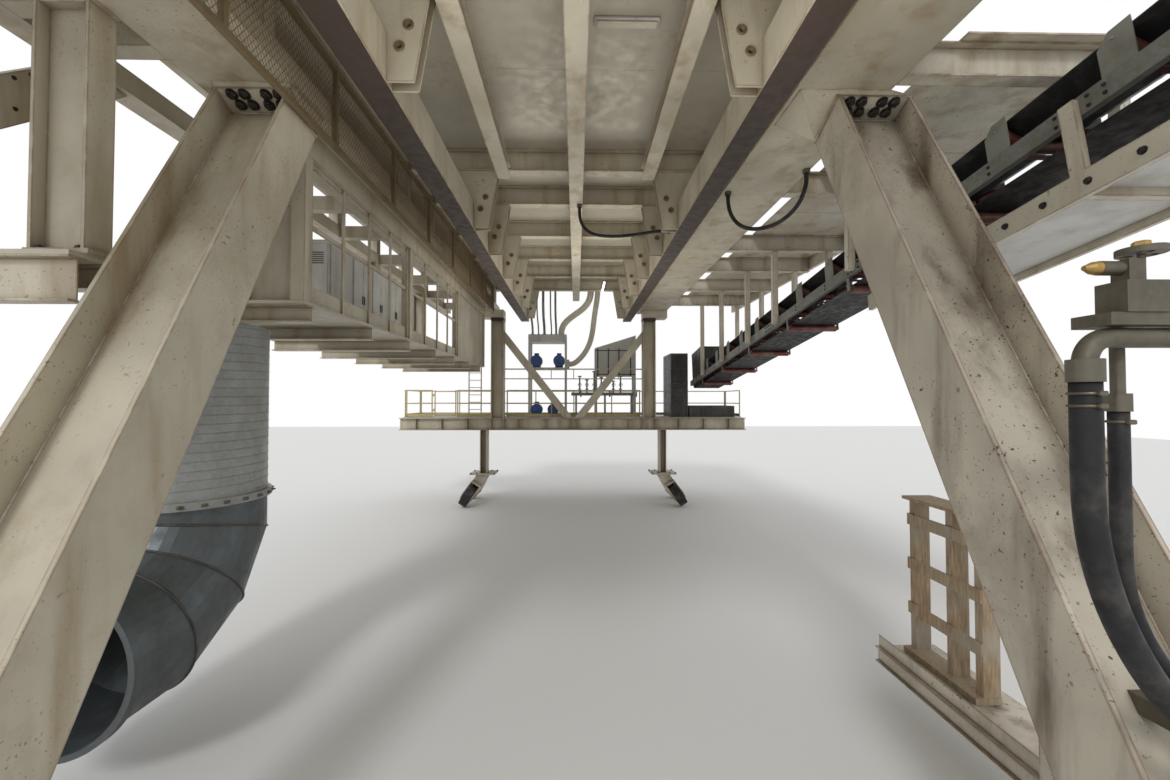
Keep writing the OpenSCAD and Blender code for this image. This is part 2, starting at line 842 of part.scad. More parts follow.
// Window posts, outer posts, the heavy column and the knee brace
module gallery_posts() {
    outer_w = 300;
    column_depth = 490;
    column_w = 250;
    base_t = 50;
    base_lip = 40;
    corner_w = 200;
    corner_y = gallery_back + 100;
    knee_w = 120;
    knee_depth = 380;
    knee_angle = 42.6;
    knee_z = girder_z - 1150;  // lower edge of the brace at the corner post
    face = corner_y + corner_w / 2;
    steel() {
        for (y = GALLERY_POST_Y)
            block([-gallery_in - gallery_post_w + 40, -gallery_in + 40],
                [y - gallery_post_w / 2, y + gallery_post_w / 2], [gallery_z, fascia_z]);
        for (y = OUTER_POST_Y)
            h_post(-gallery_out, y, [gallery_z, girder_z], outer_w, outer_w, 25, 18);
        h_post(-column_x, column_y, [gallery_z + base_t, girder_z], column_depth, column_w, 30, 22);
        block([-column_x - column_depth / 2 - base_lip, -column_x + column_depth / 2 + base_lip],
            [column_y - column_w / 2, column_y + column_w / 2], [gallery_z, gallery_z + base_t]);
        block([-outrigger_x - corner_w / 2, -outrigger_x + corner_w / 2],
            [corner_y - corner_w / 2, corner_y + corner_w / 2], [gallery_z, girder_z]);
        along_x([-outrigger_x - knee_w / 2, -outrigger_x + knee_w / 2])
            polygon([
                [face, knee_z], [face + (girder_z - knee_z) / tan(knee_angle), girder_z],
                [face + (girder_z - knee_z - knee_depth / cos(knee_angle)) / tan(knee_angle), girder_z],
                [face, knee_z + knee_depth / cos(knee_angle)]
            ]);
    }
}

window_cols = 4;

// Rails outside and mullions inside, halved over each other
module wall_section(y0, y1) {
    bar = 60;
    col = (y1 - y0 - bar) / window_cols;
    half = (gallery_wall_t - seat) / 2;
    // [height above the sill's foot, height of the rail]
    RAILS = [[0, 4 * bar], [(fascia_z - gallery_z) / 2 + bar, bar], [fascia_z - gallery_z - bar, bar]];
    for (r = RAILS)
        block([-gallery_in - gallery_wall_t, -gallery_in - gallery_wall_t + half], [y0, y1],
            [gallery_z + r[0], gallery_z + r[0] + r[1]]);
    for (c = [0:window_cols])
        block([-gallery_in - half, -gallery_in], [y0 + c * col, y0 + c * col + bar], [gallery_z, fascia_z]);
}

// The third wall section has no windows
module gallery_windows() {
    post_half = gallery_post_w / 2;
    steel() {
        for (i = [0, 1])
            wall_section(GALLERY_POST_Y[i] + post_half, GALLERY_POST_Y[i + 1] - post_half);
        block([-gallery_in - gallery_wall_t, -gallery_in],
            [GALLERY_POST_Y[2] + post_half, GALLERY_POST_Y[3] - post_half], [gallery_z, fascia_z]);
    }
}

end_wall_y = GALLERY_POST_Y[0] + 60;
end_wall_t = 60;
end_wall_x = [-gallery_out + 150, -gallery_in - gallery_post_w + 40];
door_x = end_wall_x[0] + 110;
door_lap = 20;
door_t = 40;
door_gap = 6;
door_pin_d = 20;
door_pin_x = door_x - door_lap - 30;
door_pin_y = end_wall_y - door_gap - door_t / 2;

module gallery_end_wall() {
    steel() {
        along_y([end_wall_y, end_wall_y + end_wall_t])
            difference() {
                translate([end_wall_x[0], gallery_z])
                    square([end_wall_x[1] - end_wall_x[0], girder_z - gallery_z]);
                translate([door_x, gallery_z - 1])
                    square([door_w, door_h + 1]);
            }
        for (z = [300, 1500])
            translate([door_pin_x, door_pin_y, gallery_z + z]) {
                cylinder(h = 100, d = door_pin_d);
                block([-20, 20], [-14, end_wall_y - door_pin_y], [-16, 0]);
            }
    }
}

module gallery_door() {
    leaf_z = gallery_z + 12;
    steel()
        difference() {
            union() {
                along_y([end_wall_y - door_gap - door_t, end_wall_y - door_gap])
                    difference() {
                        translate([door_x - door_lap, leaf_z])
                            square([door_w + 2 * door_lap, door_h]);
                        translate([door_x + 140, leaf_z + 1050])
                            square([door_w - 280, 560]);
                    }
                for (z = [300, 1500])
                    translate([door_pin_x, door_pin_y, gallery_z + z + seat]) {
                        cylinder(h = 80, d = door_pin_d + 20);
                        block([0, 40], [-6, 6], [0, 80]);
                    }
            }
            for (z = [300, 1500])
                translate([door_pin_x, door_pin_y, gallery_z + z - 1])
                    cylinder(h = 110, d = door_pin_d + 2 * axle_gap);
        }
}

// Cabinets along the gallery, and the rack and plate tank on the platform
cabinet_x = [-gallery_out + 150, -gallery_out + 700];
rack_x = [-1900, -300];
rack_y = [platform_front - 1400, platform_front - 400];
rack_shelf_z = platform_z + 2050;
rack_head_z = platform_z + 3140;
rack_post_w = 80;
duct_port_z = 5560;

module cabinets() {
    shelf_t = 60;
    head_h = 300;
    count = 5;
    pitch = 900;
    first = GALLERY_POST_Y[1] - 1200;
    steel() {
        for (i = [0:count - 1])
            block(cabinet_x, [first + i * pitch, first + i * pitch + 880], [gallery_z, gallery_z + 1700]);
        for (x = [rack_x[0], rack_x[1] - rack_post_w], y = [rack_y[0], rack_y[1] - rack_post_w])
            block([x, x + rack_post_w], [y, y + rack_post_w], [platform_z, rack_head_z]);
        block(rack_x, rack_y, [rack_shelf_z - shelf_t, rack_shelf_z]);
        block(rack_x, rack_y, [rack_head_z, rack_head_z + head_h]);
        block([rack_x[1], rack_x[1] + 120], [rack_y[0], rack_y[0] + 260],
            [duct_port_z - 180, duct_port_z + 180]);
        plate_tank();
    }
}

// A tank with a slanting top on four legs
module plate_tank() {
    x = [900, 2650];
    y = [rack_y[0] + 350, rack_y[1]];
    leg = 100;
    under = platform_z + 1700;
    along_y(y)
        polygon([[x[0], under], [x[1], under], [x[1], under + 1750], [x[0], under + 1200]]);
    for (px = [x[0], x[1] - leg], py = [y[0], y[1] - leg])
        block([px, px + leg], [py, py + leg], [platform_z, under]);
}

// Blue motors with their pumps: [place across the gantry, tier of the rack]
MOTORS = [[-1560, 0], [-860, 0], [-1570, 1], [-620, 1]];

module pump_units() {
    motor_d = 460;
    motor_l = 560;
    foot_h = 60;
    motor_y = rack_y[0] + 60;
    color([0.08, 0.20, 0.50])
        for (m = MOTORS) {
            z = m[1] == 0 ? platform_z : rack_shelf_z;
            block([m[0] - 160, m[0] + 160], [motor_y + 60, motor_y + motor_l], [z, z + foot_h + 40]);
            translate([m[0], motor_y, z + foot_h + motor_d / 2])
                rotate([-90, 0, 0]) {
                    cylinder(h = motor_l, d = motor_d);
                    cylinder(h = motor_l + 220, d = motor_d * 0.6);
                }
            block([m[0] - 90, m[0] + 90], [motor_y + 160, motor_y + 380],
                [z + foot_h + motor_d - 20, z + foot_h + motor_d + 90]);
        }
}

// Two bent supply ducts from the deck to the rack: [diameter, route]
SUPPLY_DUCTS = [
    [260, [
        [704, 8350, 0], [704, 8350, -220], [690, 8370, -430], [640, 8420, -630], [540, 8500, -800],
        [400, 8600, -940], [230, 8700, -1060], [50, 8790, -1170], [-130, 8870, -1290], [-290, 8930, -1420],
        [-420, 8970, -1570], [-500, 8990, -1750], [-520, 9000, -1900]
    ]],
    [220, [
        [980, 8350, 0], [980, 8350, -220], [972, 8365, -440], [950, 8395, -660], [915, 8440, -880],
        [880, 8500, -1100], [850, 8560, -1320], [825, 8620, -1540], [800, 8680, -1760], [765, 8735, -1980],
        [715, 8785, -2200], [645, 8830, -2410], [550, 8880, -2610], [430, 8930, -2800], [285, 8970, -2970],
        [140, 8995, -3110]
    ]]
];

module supply_ducts() {
    top = deck_z - seat;
    ends = [
        [[-520, 9000, rack_head_z + 300 + seat - top]],
        [for (p = [[0, 9020, 25], [-100, 9030, 0], [rack_x[1] + 120 + seat, 9030, 0]])
            [p[0], p[1], p[2] + duct_port_z - top]]
    ];
    color([0.84, 0.82, 0.72])
        for (i = [0, 1])
            translate([0, platform_front - 10300, top])
                tube(concat(SUPPLY_DUCTS[i][1], ends[i]), SUPPLY_DUCTS[i][0], [0, 1, 0], 16);
}

module light_tubes() {
    tube_l = 1240;
    pitch = 1400;
    color([0.95, 0.96, 0.90]) {
        for (i = [0:7])
            translate([-gallery_in - 150, GALLERY_POST_Y[0] + 300 + i * pitch, fascia_z + 20])
                cube([50, tube_l, 60]);
        translate([runway_mid + 1000, steel_front - 2300, cross_z - 60])
            cube([60, tube_l + 320, 60]);
    }
}

// Conveyor

// The conveyor is drawn level and then turned about the front portal
module climbing() {
    translate([0, portal_y, conveyor_z])
        rotate([-conveyor_rise, 0, 0])
            children();
}

// Place along the level conveyor of a place along the gantry
function along_belt(y) = (y - portal_y) / cos(conveyor_rise);

conveyor_back = along_belt(steel_back + 1400);
conveyor_front = 900;
stringer_t = 12;
stringer_tall = 200;
stringer_flange = 80;
belt_mid = conveyor_in + conveyor_w / 2;
conveyor_out = conveyor_in + conveyor_w;
trough_flat = 380;
trough_angle = 30;
trough_z = stringer_tall + 190;  // underside of the belt in the middle of the trough
return_z = -140;  // underside of the returning belt
idler_shaft_d = 32;
pulley_r = (trough_z - return_z - belt_t) / 2;
pulley_z = return_z + belt_t + pulley_r;
pulley_back = conveyor_back + pulley_r + 60;
pulley_front = conveyor_front - pulley_r - 60;
drum_shaft_d = 90;
flattening = 700;  // length over which the trough flattens to a pulley

module conveyor_stringers() {
    color([0.55, 0.57, 0.55])
        climbing()
            along_y([conveyor_back, conveyor_front]) {
                translate([conveyor_in, 0])
                    polygon(c_outline(stringer_tall, stringer_flange, stringer_t, 1));
                translate([conveyor_out, 0])
                    polygon(c_outline(stringer_tall, stringer_flange, stringer_t, -1));
            }
}

// The belt over one pulley: a half ring that faces away from the run
module belt_wrap(y, away) {
    width = belt_w;
    translate([belt_mid - width / 2, y, pulley_z])
        rotate([0, 90, 0])
            difference() {
                cylinder(h = width, r = pulley_r + belt_t);
                translate([0, 0, -1])
                    cylinder(h = width + 2, r = pulley_r);
                translate([-2 * pulley_r, away > 0 ? -2 * pulley_r : 0, -1])
                    cube([4 * pulley_r, 2 * pulley_r, width + 2]);
            }
}

// One wing of the belt on one side; rise is the height of its edge
function wing_outline(side, rise) = [
    [side * trough_flat / 2, 0], [side * belt_w / 2, rise],
    [side * belt_w / 2, rise + belt_t], [side * trough_flat / 2, belt_t]
];

module conveyor_belt() {
    rise = (belt_w - trough_flat) / 2 * tan(trough_angle);
    run = [pulley_back + flattening, pulley_front - flattening];
    slab = 1;
    color([0.10, 0.10, 0.10])
        climbing() {
            along_y(run)
                translate([belt_mid, trough_z])
                    polygon([
                        [-belt_w / 2, rise], [-trough_flat / 2, 0], [trough_flat / 2, 0], [belt_w / 2, rise],
                        [belt_w / 2, rise + belt_t], [trough_flat / 2, belt_t], [-trough_flat / 2, belt_t],
                        [-belt_w / 2, rise + belt_t]
                    ]);
            for (y = [[pulley_back, run[0]], [run[1], pulley_front]])
                block([belt_mid - trough_flat / 2, belt_mid + trough_flat / 2], y,
                    [trough_z, trough_z + belt_t]);
            // [pulley, end of the trough]
            for (y = [[pulley_back, run[0] - slab], [pulley_front - slab, run[1]]], side = [-1, 1])
                hull() {
                    along_y([y[0], y[0] + slab])
                        translate([belt_mid, trough_z])
                            polygon(wing_outline(side, 0));
                    along_y([y[1], y[1] + slab])
                        translate([belt_mid, trough_z])
                            polygon(wing_outline(side, rise));
                }
            block([belt_mid - belt_w / 2, belt_mid + belt_w / 2], [pulley_back, pulley_front],
                [return_z, return_z + belt_t]);
            belt_wrap(pulley_back, -1);
            belt_wrap(pulley_front, 1);
        }
}

hopper_wall = 12;

// One carrying set: three rollers on sheet brackets, on a bar across the stringers
module trough_set() {
    wing_l = (belt_w - trough_flat) / 2 / cos(trough_angle);
    sheet_t = 10;
    bar_z = stringer_tall;
    bar_half = conveyor_w / 2 - hopper_wall - 2;
    outer_x = belt_w / 2 + 45;
    axis_z = trough_z - idler_d / 2 - seat;
    plate_half = 140;
    plate_low = 310;
    plate_high = 420;
    block([-bar_half, bar_half], [-40, 40], [bar_z, bar_z + sheet_t]);
    for (side = [0, 1])
        mirror([side, 0, 0]) {
            block([trough_flat / 2, trough_flat / 2 + sheet_t], [-40, 40], [bar_z, axis_z + 25]);
            along_x([outer_x, outer_x + sheet_t])
                polygon([
                    [-plate_half, bar_z], [plate_half, bar_z], [plate_half, bar_z + plate_low],
                    [plate_half / 4, bar_z + plate_high], [-plate_half, bar_z + plate_high]
                ]);
            translate([trough_flat / 2, 0, trough_z])
                rotate([0, -trough_angle, 0])
                    translate([0, 0, -idler_d / 2 - seat])
                        rotate([0, 90, 0]) {
                            translate([0, 0, 15])
                                cylinder(h = wing_l - 30, d = idler_d);
                            translate([0, 0, -36])
                                cylinder(h = wing_l + 78, d = idler_shaft_d);
                        }
        }
    translate([0, 0, axis_z])
        rotate([0, 90, 0]) {
            cylinder(h = trough_flat - 20, d = idler_d, center = true);
            cylinder(h = trough_flat + 2 * sheet_t, d = idler_shaft_d, center = true);
        }
}

// One flat return roller between two drop brackets
module return_set() {
    sheet_t = 10;
    reach = conveyor_w / 2 - 30;
    axis_z = return_z - idler_d / 2 - seat;
    for (side = [0, 1])
        mirror([side, 0, 0])
            block([reach, reach + sheet_t], [-40, 40], [axis_z - 30, 0]);
    translate([0, 0, axis_z])
        rotate([0, 90, 0]) {
            cylinder(h = belt_w + 40, d = idler_d, center = true);
            cylinder(h = 2 * reach, d = idler_shaft_d, center = true);
        }
}

// The drum at one end of the belt, on a shaft between the stringers
module end_drum(y) {
    translate([belt_mid, y, pulley_z])
        rotate([0, 90, 0]) {
            cylinder(h = belt_w + 20, r = pulley_r - seat, center = true);
            cylinder(h = conveyor_w - 2 * stringer_t - 2 * seat, d = drum_shaft_d, center = true);
        }
}

module conveyor_idlers() {
    first = pulley_back + flattening + 100;
    sets = floor((pulley_front - flattening - 100 - first) / idler_pitch);
    color([0.36, 0.15, 0.13])
        climbing() {
            for (i = [0:sets])
                translate([belt_mid, first + i * idler_pitch, 0]) {
                    trough_set();
                    if (i % 2 == 0)
                        translate([0, idler_pitch / 2, 0])
                            return_set();
                }
            for (y = [pulley_back, pulley_front])
                end_drum(y);
        }
}

arm_top = girder_z + arm_h;
arm_out = belt_mid + arm_reach;
// Places of the arms; the rear one is raised over the belt
ARM_Y = concat([leg_head_y - 450, -2600], [for (y = [8150, 6400, 4100, 1800]) steel_front - y]);
raised_arm_y = steel_back + 1740;
raised_arm_z = girder_z + 750;

// Arms, the outer chord that ties their ends, and the plates of the outboard deck
module conveyor_arms() {
    arm_w = 180;
    chord_t = 100;
    joint = 6;
    deck_in = girder_right_out + 600;
    back = ARM_Y[0] - 200;
    bays = 6;
    bay = (steel_front - back) / bays;
    steel() {
        for (y = ARM_Y)
            i_beam_x([girder_right_out, arm_out], y, girder_z, arm_h, arm_w, 20, 14);
        i_beam_x([girder_right_out, arm_out], raised_arm_y, raised_arm_z, arm_h, arm_w, 20, 14);
        block([arm_out, arm_out + chord_t], [back, steel_front], [girder_z + 80, arm_top]);
        for (y = [for (i = [0:bays - 1]) back + i * bay])
            block([deck_in, arm_out + chord_t], [y + joint / 2, y + bay - joint / 2],
                [arm_top, arm_top + deck_t]);
    }
}

// Square hangers down to the stringers, and the channels hung under the rear part
channel_front = -11100;
channel_z = [-805, -555];
channel_t = 60;
UPRIGHT_Y = [conveyor_back + 400, conveyor_back + 2700, conveyor_back + 5500];

module conveyor_hangers() {
    hanger_w = 120;
    upright_w = 140;
    sheet_t = 6;
    sheet_z = channel_z[0] + 100;
    steel() {
        for (y = concat(raised_arm_y, ARM_Y), x = [conveyor_in - hanger_w - seat, conveyor_out + seat])
            if (y > leg_head_y - 400 || x > belt_mid)
                block([x, x + hanger_w], [y - hanger_w / 2, y + hanger_w / 2],
                    [conveyor_z - (y - portal_y) * tan(conveyor_rise) + stringer_tall / 4,
                    y == raised_arm_y ? raised_arm_z : girder_z]);
        climbing() {
            for (side = [-1, 1]) {
                x0 = side < 0 ? conveyor_in - channel_t - seat : conveyor_out + seat;
                block([x0, x0 + channel_t], [conveyor_back, channel_front], channel_z);
                for (y = UPRIGHT_Y)
                    block([x0, x0 + channel_t], [y - upright_w / 2, y + upright_w / 2],
                        [channel_z[1], stringer_tall - 30]);
            }
            for (y = UPRIGHT_Y)
                block([conveyor_in - seat, conveyor_out + seat], [y - 40, y + 40], [channel_z[0], sheet_z]);
            block([conveyor_in, conveyor_out], [conveyor_back, channel_front],
                [sheet_z, sheet_z + sheet_t]);
        }
    }
}

// Loading end: a casing, a spillage tray and a hopper
module conveyor_tail() {
    wall = 20;
    tray_x = [conveyor_in - 200, half_w - 300];
    tray_y = [rail_back_y, platform_front - 400];
    tray_h = 450;
    hopper_back = -900;
    hopper_front = 500;
    hopper_top = 1250;
    color([0.13, 0.13, 0.13]) {
        block([conveyor_in - 950, conveyor_in - 250], tray_y, [platform_z, platform_z + 2590]);
        difference() {
            block(tray_x, tray_y, [platform_z, platform_z + tray_h]);
            block([tray_x[0] + wall, tray_x[1] - wall], [tray_y[0] + wall, tray_y[1] - wall],
                [platform_z + wall, platform_z + tray_h + wall]);
        }
        climbing() {
            for (x = [conveyor_in, conveyor_out - hopper_wall])
                block([x, x + hopper_wall], [hopper_back, hopper_front], [stringer_tall, hopper_top]);
            for (y = [hopper_back, hopper_front - hopper_wall])
                block([conveyor_in + hopper_wall, conveyor_out - hopper_wall], [y, y + hopper_wall],
                    [trough_z + 300, hopper_top]);
        }
    }
}

// Air duct

duct_x = -gallery_out + 70;
duct_y = leg_head_y + 1050;
duct_flange_z = 2700;
duct_flange_h = 100;
duct_lip = 50;  // width of a flange ring

module air_duct() {
    straight = gallery_beam_z - duct_flange_z;
    color([0.62, 0.64, 0.63])
        translate([duct_x, duct_y, duct_flange_z])
            difference() {
                union() {
                    cylinder(h = straight, d = duct_d);
                    cylinder(h = duct_flange_h, d = duct_d + 2 * duct_lip);
                }
                translate([0, 0, -1])
                    cylinder(h = straight - duct_t + 1, d = duct_d - 2 * duct_t);
            }
}

duct_sides = 48;

// One ring of the elbow, on the mitre plane at an angle from the straight duct, moved on by ext.
// The gores are straight, so a mitre plane cuts them in an ellipse that is wider by 1 / cos(half).
function elbow_ring(r, at, half, ext) = [
    for (k = [0:duct_sides - 1])
        let (
            a = 360 * k / duct_sides,
            mitre = at > 0 && at < 90 ? 1 / cos(half) : 1,
            out = r * cos(a) * mitre + duct_bend_r * mitre
        )
        [r * sin(a), -duct_bend_r + out * cos(at) - ext, -out * sin(at)]
];

module duct_elbow() {
    half = 90 / duct_gores / 2;
    // [angle of the ring's plane, distance beyond the bend]
    planes = [[0, 0], for (i = [0:duct_gores - 1]) [(2 * i + 1) * half, 0], [90, duct_end_l]];
    n = duct_sides;
    last = len(planes) - 1;
    outer = [for (p = planes) each elbow_ring(duct_d / 2, p[0], half, p[1])];
    inner = [for (p = planes) each elbow_ring(duct_d / 2 - duct_t, p[0], half, p[1])];
    in0 = len(outer);
    skin = [
        for (i = [0:last - 1], k = [0:n - 1])
            [i * n + k, (i + 1) * n + k, (i + 1) * n + (k + 1) % n, i * n + (k + 1) % n]
    ];
    lining = [for (f = skin) [in0 + f[3], in0 + f[2], in0 + f[1], in0 + f[0]]];
    ends = [
        for (k = [0:n - 1])
            [k, (k + 1) % n, in0 + (k + 1) % n, in0 + k],
        for (k = [0:n - 1])
            [in0 + last * n + k, in0 + last * n + (k + 1) % n, last * n + (k + 1) % n, last * n + k]
    ];
    color([0.55, 0.57, 0.56])
        translate([duct_x, duct_y, duct_flange_z - seat]) {
            polyhedron(points = concat(outer, inner), faces = concat(skin, lining, ends));
            translate([0, -duct_bend_r - duct_end_l, -duct_bend_r])
                rotate([-90, 0, 0])
                    difference() {
                        cylinder(h = duct_flange_h, d = duct_d + 2 * duct_lip);
                        translate([0, 0, -1])
                            cylinder(h = duct_flange_h + 2, d = duct_d + 2 * seat);
                    }
        }
}

// Hose station at the right, on a post hung from the right girder
hose_x = 2566;  // the thick hose where it hangs straight
hose_y = -8300;
thin_x = 2822;
thin_y = -8220;
hose_lean = 55;  // angle from the vertical at which both hoses end

// The thick hose, from its collar down to its ferrule
HOSE_THICK = [
    for (p = [
        [2566, 4145], [2566, 3980], [2566, 3815], [2566, 3650], [2574, 3493], [2596, 3338], [2633, 3185],
        [2685, 3036], [2751, 2894], [2830, 2758], [2922, 2630], [3026, 2512], [3140, 2404], [3264, 2308],
        [3393, 2218]
    ]) [p[0], hose_y, p[1]]
];
// The thin hose beside it
HOSE_THIN = [
    for (p = [
        [2822, 4001], [2822, 3860], [2822, 3710], [2822, 3560], [2822, 3415], [2822, 3274], [2830, 3157],
        [2855, 3042], [2895, 2932], [2950, 2828], [3019, 2733], [3100, 2649], [3181, 2585], [3275, 2519],
        [3369, 2453], [3463, 2387]
    ]) [p[0], thin_y, p[1]]
];
// A cable that hangs in a deep loop below the right girder
CABLE_A = [
    [2690, -2700, 7540], [2690, -2700, 7440], [2702, -2710, 7330], [2725, -2730, 7220], [2765, -2765, 7110],
    [2825, -2815, 7010], [2905, -2880, 6930], [3000, -2960, 6875], [3100, -3045, 6850], [3205, -3130, 6850],
    [3310, -3220, 6875], [3410, -3300, 6935], [3495, -3375, 7020], [3560, -3430, 7120], [3602, -3465, 7230],
    [3628, -3490, 7340], [3640, -3500, 7440], [3640, -3500, 7540]
];
// A cable from the middle stringer to the right runway beam
CABLE_B = [
    [170, -900, 8070], [170, -900, 7970], [178, -905, 7870], [200, -912, 7772], [240, -922, 7680],
    [300, -934, 7600], [378, -946, 7535], [470, -958, 7490], [570, -970, 7462], [675, -980, 7445],
    [785, -990, 7436], [900, -1000, 7432], [1020, -1010, 7434], [1145, -1020, 7442], [1275, -1030, 7455],
    [1410, -1040, 7472], [1550, -1050, 7492], [1690, -1058, 7512], [1830, -1060, 7524], [1960, -1060, 7524]
];

module hose_thick() {
    color([0.07, 0.07, 0.08])
        tube(HOSE_THICK, hose_thick_d, [0, 1, 0]);
}

module hose_thin() {
    color([0.07, 0.07, 0.08])
        tube(HOSE_THIN, hose_thin_d, [0, 1, 0]);
}

module cable_loop_a() {
    color([0.07, 0.07, 0.08])
        tube(CABLE_A, cable_d, [0.64, 0.77, 0], 8);
}

module cable_loop_b() {
    color([0.07, 0.07, 0.08])
        tube(CABLE_B, cable_d, [0, 1, 0], 8);
}

// A quarter bend of pipe from upright to the right, drawn about the bend's middle
module pipe_bend(d, r) {
    rotate([90, 0, 0])
        intersection() {
            rotate_extrude()
                translate([r, 0])
                    circle(d = d);
            block([-r - d, 0], [0, r + d], [-d, d]);
        }
}

post_w = 120;
hose_post_x = girder_right_out - 200;
collar_h = 110;
pipe_d = 96;
pipe_bend_r = 120;
pipe_z = 4360;
beam_z = [4416, 4477];
gland_d = 110;

module hose_fittings() {
    color([0.62, 0.60, 0.56]) {
        hose_station();
        ferrules();
        cable_glands();
    }
}

module hose_station() {
    post_left = hose_post_x - post_w / 2;
    collar_z = HOSE_THICK[0][2] + seat;
    thin_z = HOSE_THIN[0][2] + seat;
    block_x = [2702, 2916];
    wheel_x0 = 2860;
    block([post_left, post_left + post_w], [hose_y - post_w / 2, hose_y + post_w / 2], [3900, girder_z]);
    block([hose_x + 66, post_left], [hose_y - 60, hose_y + 120], beam_z);
    translate([hose_x, hose_y, collar_z]) {
        cylinder(h = collar_h, d = hose_thick_d + 20);
        cylinder(h = pipe_z - pipe_bend_r - collar_z, d = pipe_d);
    }
    translate([hose_x + pipe_bend_r, hose_y, pipe_z - pipe_bend_r])
        pipe_bend(pipe_d, pipe_bend_r);
    translate([hose_x + pipe_bend_r, hose_y, pipe_z])
        rotate([0, 90, 0])
            cylinder(h = post_left - hose_x - pipe_bend_r, d = pipe_d);
    translate([thin_x, thin_y, thin_z]) {
        cylinder(h = 90, d = hose_thin_d + 20);
        cylinder(h = beam_z[0] - thin_z, d = 56);
    }
    block(block_x, [hose_y - 70, hose_y + 70], [beam_z[1], beam_z[1] + 152]);
    block([2750, 2830], [hose_y - 40, hose_y + 40], [beam_z[1] + 152, 4740]);
    translate([2640, hose_y, 4700])
        rotate([0, 90, 0])
            cylinder(h = 110, d = 70);
    translate([wheel_x0, hose_y, beam_z[1] + 152]) {
        cylinder(h = 180, d = 30);
        translate([0, 0, 140])
            difference() {
                cylinder(h = 30, d = 180);
                for (a = [0:120:240])
                    rotate(a)
                        translate([50, 0, -1])
                            cylinder(h = 32, d = 50);
            }
    }
}

// The hoses' lower ends, on a plate held by a bar from the right leg
module ferrules() {
    plate_at = 1606;  // distance of the plate along the leaning hoses
    ends = [[HOSE_THICK[14], hose_thick_d + 30], [HOSE_THIN[15], hose_thin_d + 24]];
    for (e = ends) {
        along = e[0][0] * sin(hose_lean) - e[0][2] * cos(hose_lean);
        translate(e[0])
            rotate([0, 180 - hose_lean, 0])
                translate([0, 0, seat])
                    cylinder(h = plate_at - along - seat, d = e[1]);
    }
    rotate([0, 180 - hose_lean, 0])
        block([-4030, -3660], [hose_y - 90, hose_y + 170], [plate_at, plate_at + 60]);
    difference() {
        block([3520, 3620], [hose_y - 60, foot_y + 700], [2150, 2260]);
        leg_frame(1)
            translate([-leg_depth, -leg_web_t / 2 - seat, -2 * girder_z])
                cube([2 * leg_depth, leg_depth * 4, 3 * girder_z]);
    }
}

module cable_glands() {
    for (p = [CABLE_A[0], CABLE_A[17]])
        translate([p[0], p[1], p[2] + seat])
            cylinder(h = girder_z - p[2] - seat, d = gland_d);
    translate([CABLE_B[0][0], CABLE_B[0][1], CABLE_B[0][2] + seat])
        cylinder(h = cross_z - stringer_h - CABLE_B[0][2] - seat, d = gland_d);
    translate([CABLE_B[19][0] + seat, CABLE_B[19][1], CABLE_B[19][2]])
        rotate([0, 90, 0])
            cylinder(h = runway_mid + runway_x - runway_w / 2 - CABLE_B[19][0] - seat, d = gland_d);
}

// Side landing

landing_x = [leg_out + 400, leg_out + 400 + landing_w];
landing_y = [foot_y + 1181, foot_y + 4181];
landing_t = 60;
bracket_w = 120;

// A small landing on a bracket from the right leg
module side_landing() {
    channel_h = 200;
    bearer_h = 100;
    bearer_y = landing_y[0] + 230;
    bearer_z = landing_z - landing_t - bearer_h;
    bracket_z = [foot_z + 100, foot_z + 300];
    steel() {
        block([leg_out, leg_out + bracket_w], [foot_y + 31, bearer_y + bracket_w], bracket_z);
        block([leg_out, leg_out + bracket_w], [bearer_y, bearer_y + bracket_w], [bearer_z, bracket_z[0]]);
        block([leg_out + bracket_w, landing_x[1]], [bearer_y, bearer_y + bracket_w],
            [bearer_z, landing_z - landing_t]);
        block(landing_x, landing_y, [landing_z - landing_t, landing_z]);
        along_y(landing_y)
            translate([landing_x[0], landing_z - channel_h])
                polygon(c_outline(channel_h, 60, 12, -1));
        block([landing_x[0], landing_x[0] + 12], landing_y, [landing_z, landing_z + 150]);
    }
}

// Rough posts, rails and a top plank: places of the posts along the landing
TIMBER_Y = [for (y = [1230, 820, 200]) landing_y[1] - y];

module landing_timber() {
    post_x = landing_x[0] + 350;
    sill_h = 70;
    post_top = 2700;
    board_t = 30;
    run = [TIMBER_Y[0] - 60, TIMBER_Y[2] + 60];
    color([0.60, 0.48, 0.32]) {
        block([post_x - 100, post_x + 200], run, [landing_z, landing_z + sill_h]);
        for (y = TIMBER_Y)
            block([post_x, post_x + 200], [y - 50, y + 50], [landing_z + sill_h, post_top]);
        for (z = [1150, 1750, 2350])
            block([post_x - board_t, post_x], run, [z, z + 150]);
        block([post_x - 100, post_x + 300], run, [post_top, post_top + 40]);
    }
}

// Lugs and ladder

lug_t = 60;
lug_r = 110;
lug_bore_r = 45;
lug_x = 3600;
lug_reach = half_l - lug_r;  // distance from the middle of the gantry to a lug's bore

// A plate lug with a round end; base is where it is welded on
module lug(x, base, eye, z) {
    along_x([x - lug_t / 2, x + lug_t / 2])
        difference() {
            union() {
                translate([eye, z])
                    circle(r = lug_r);
                translate([min(base, eye), z - lug_r])
                    square([abs(eye - base), 2 * lug_r]);
            }
            translate([eye, z])
                circle(r = lug_bore_r);
        }
}

module tow_lugs() {
    steel()
        for (x = [-lug_x, lug_x]) {
            lug(x, platform_front - 190, lug_reach, platform_under + platform_beam_h / 2);
            lug(x, steel_back, -lug_reach, girder_z + chord_low_h / 2);
        }
}

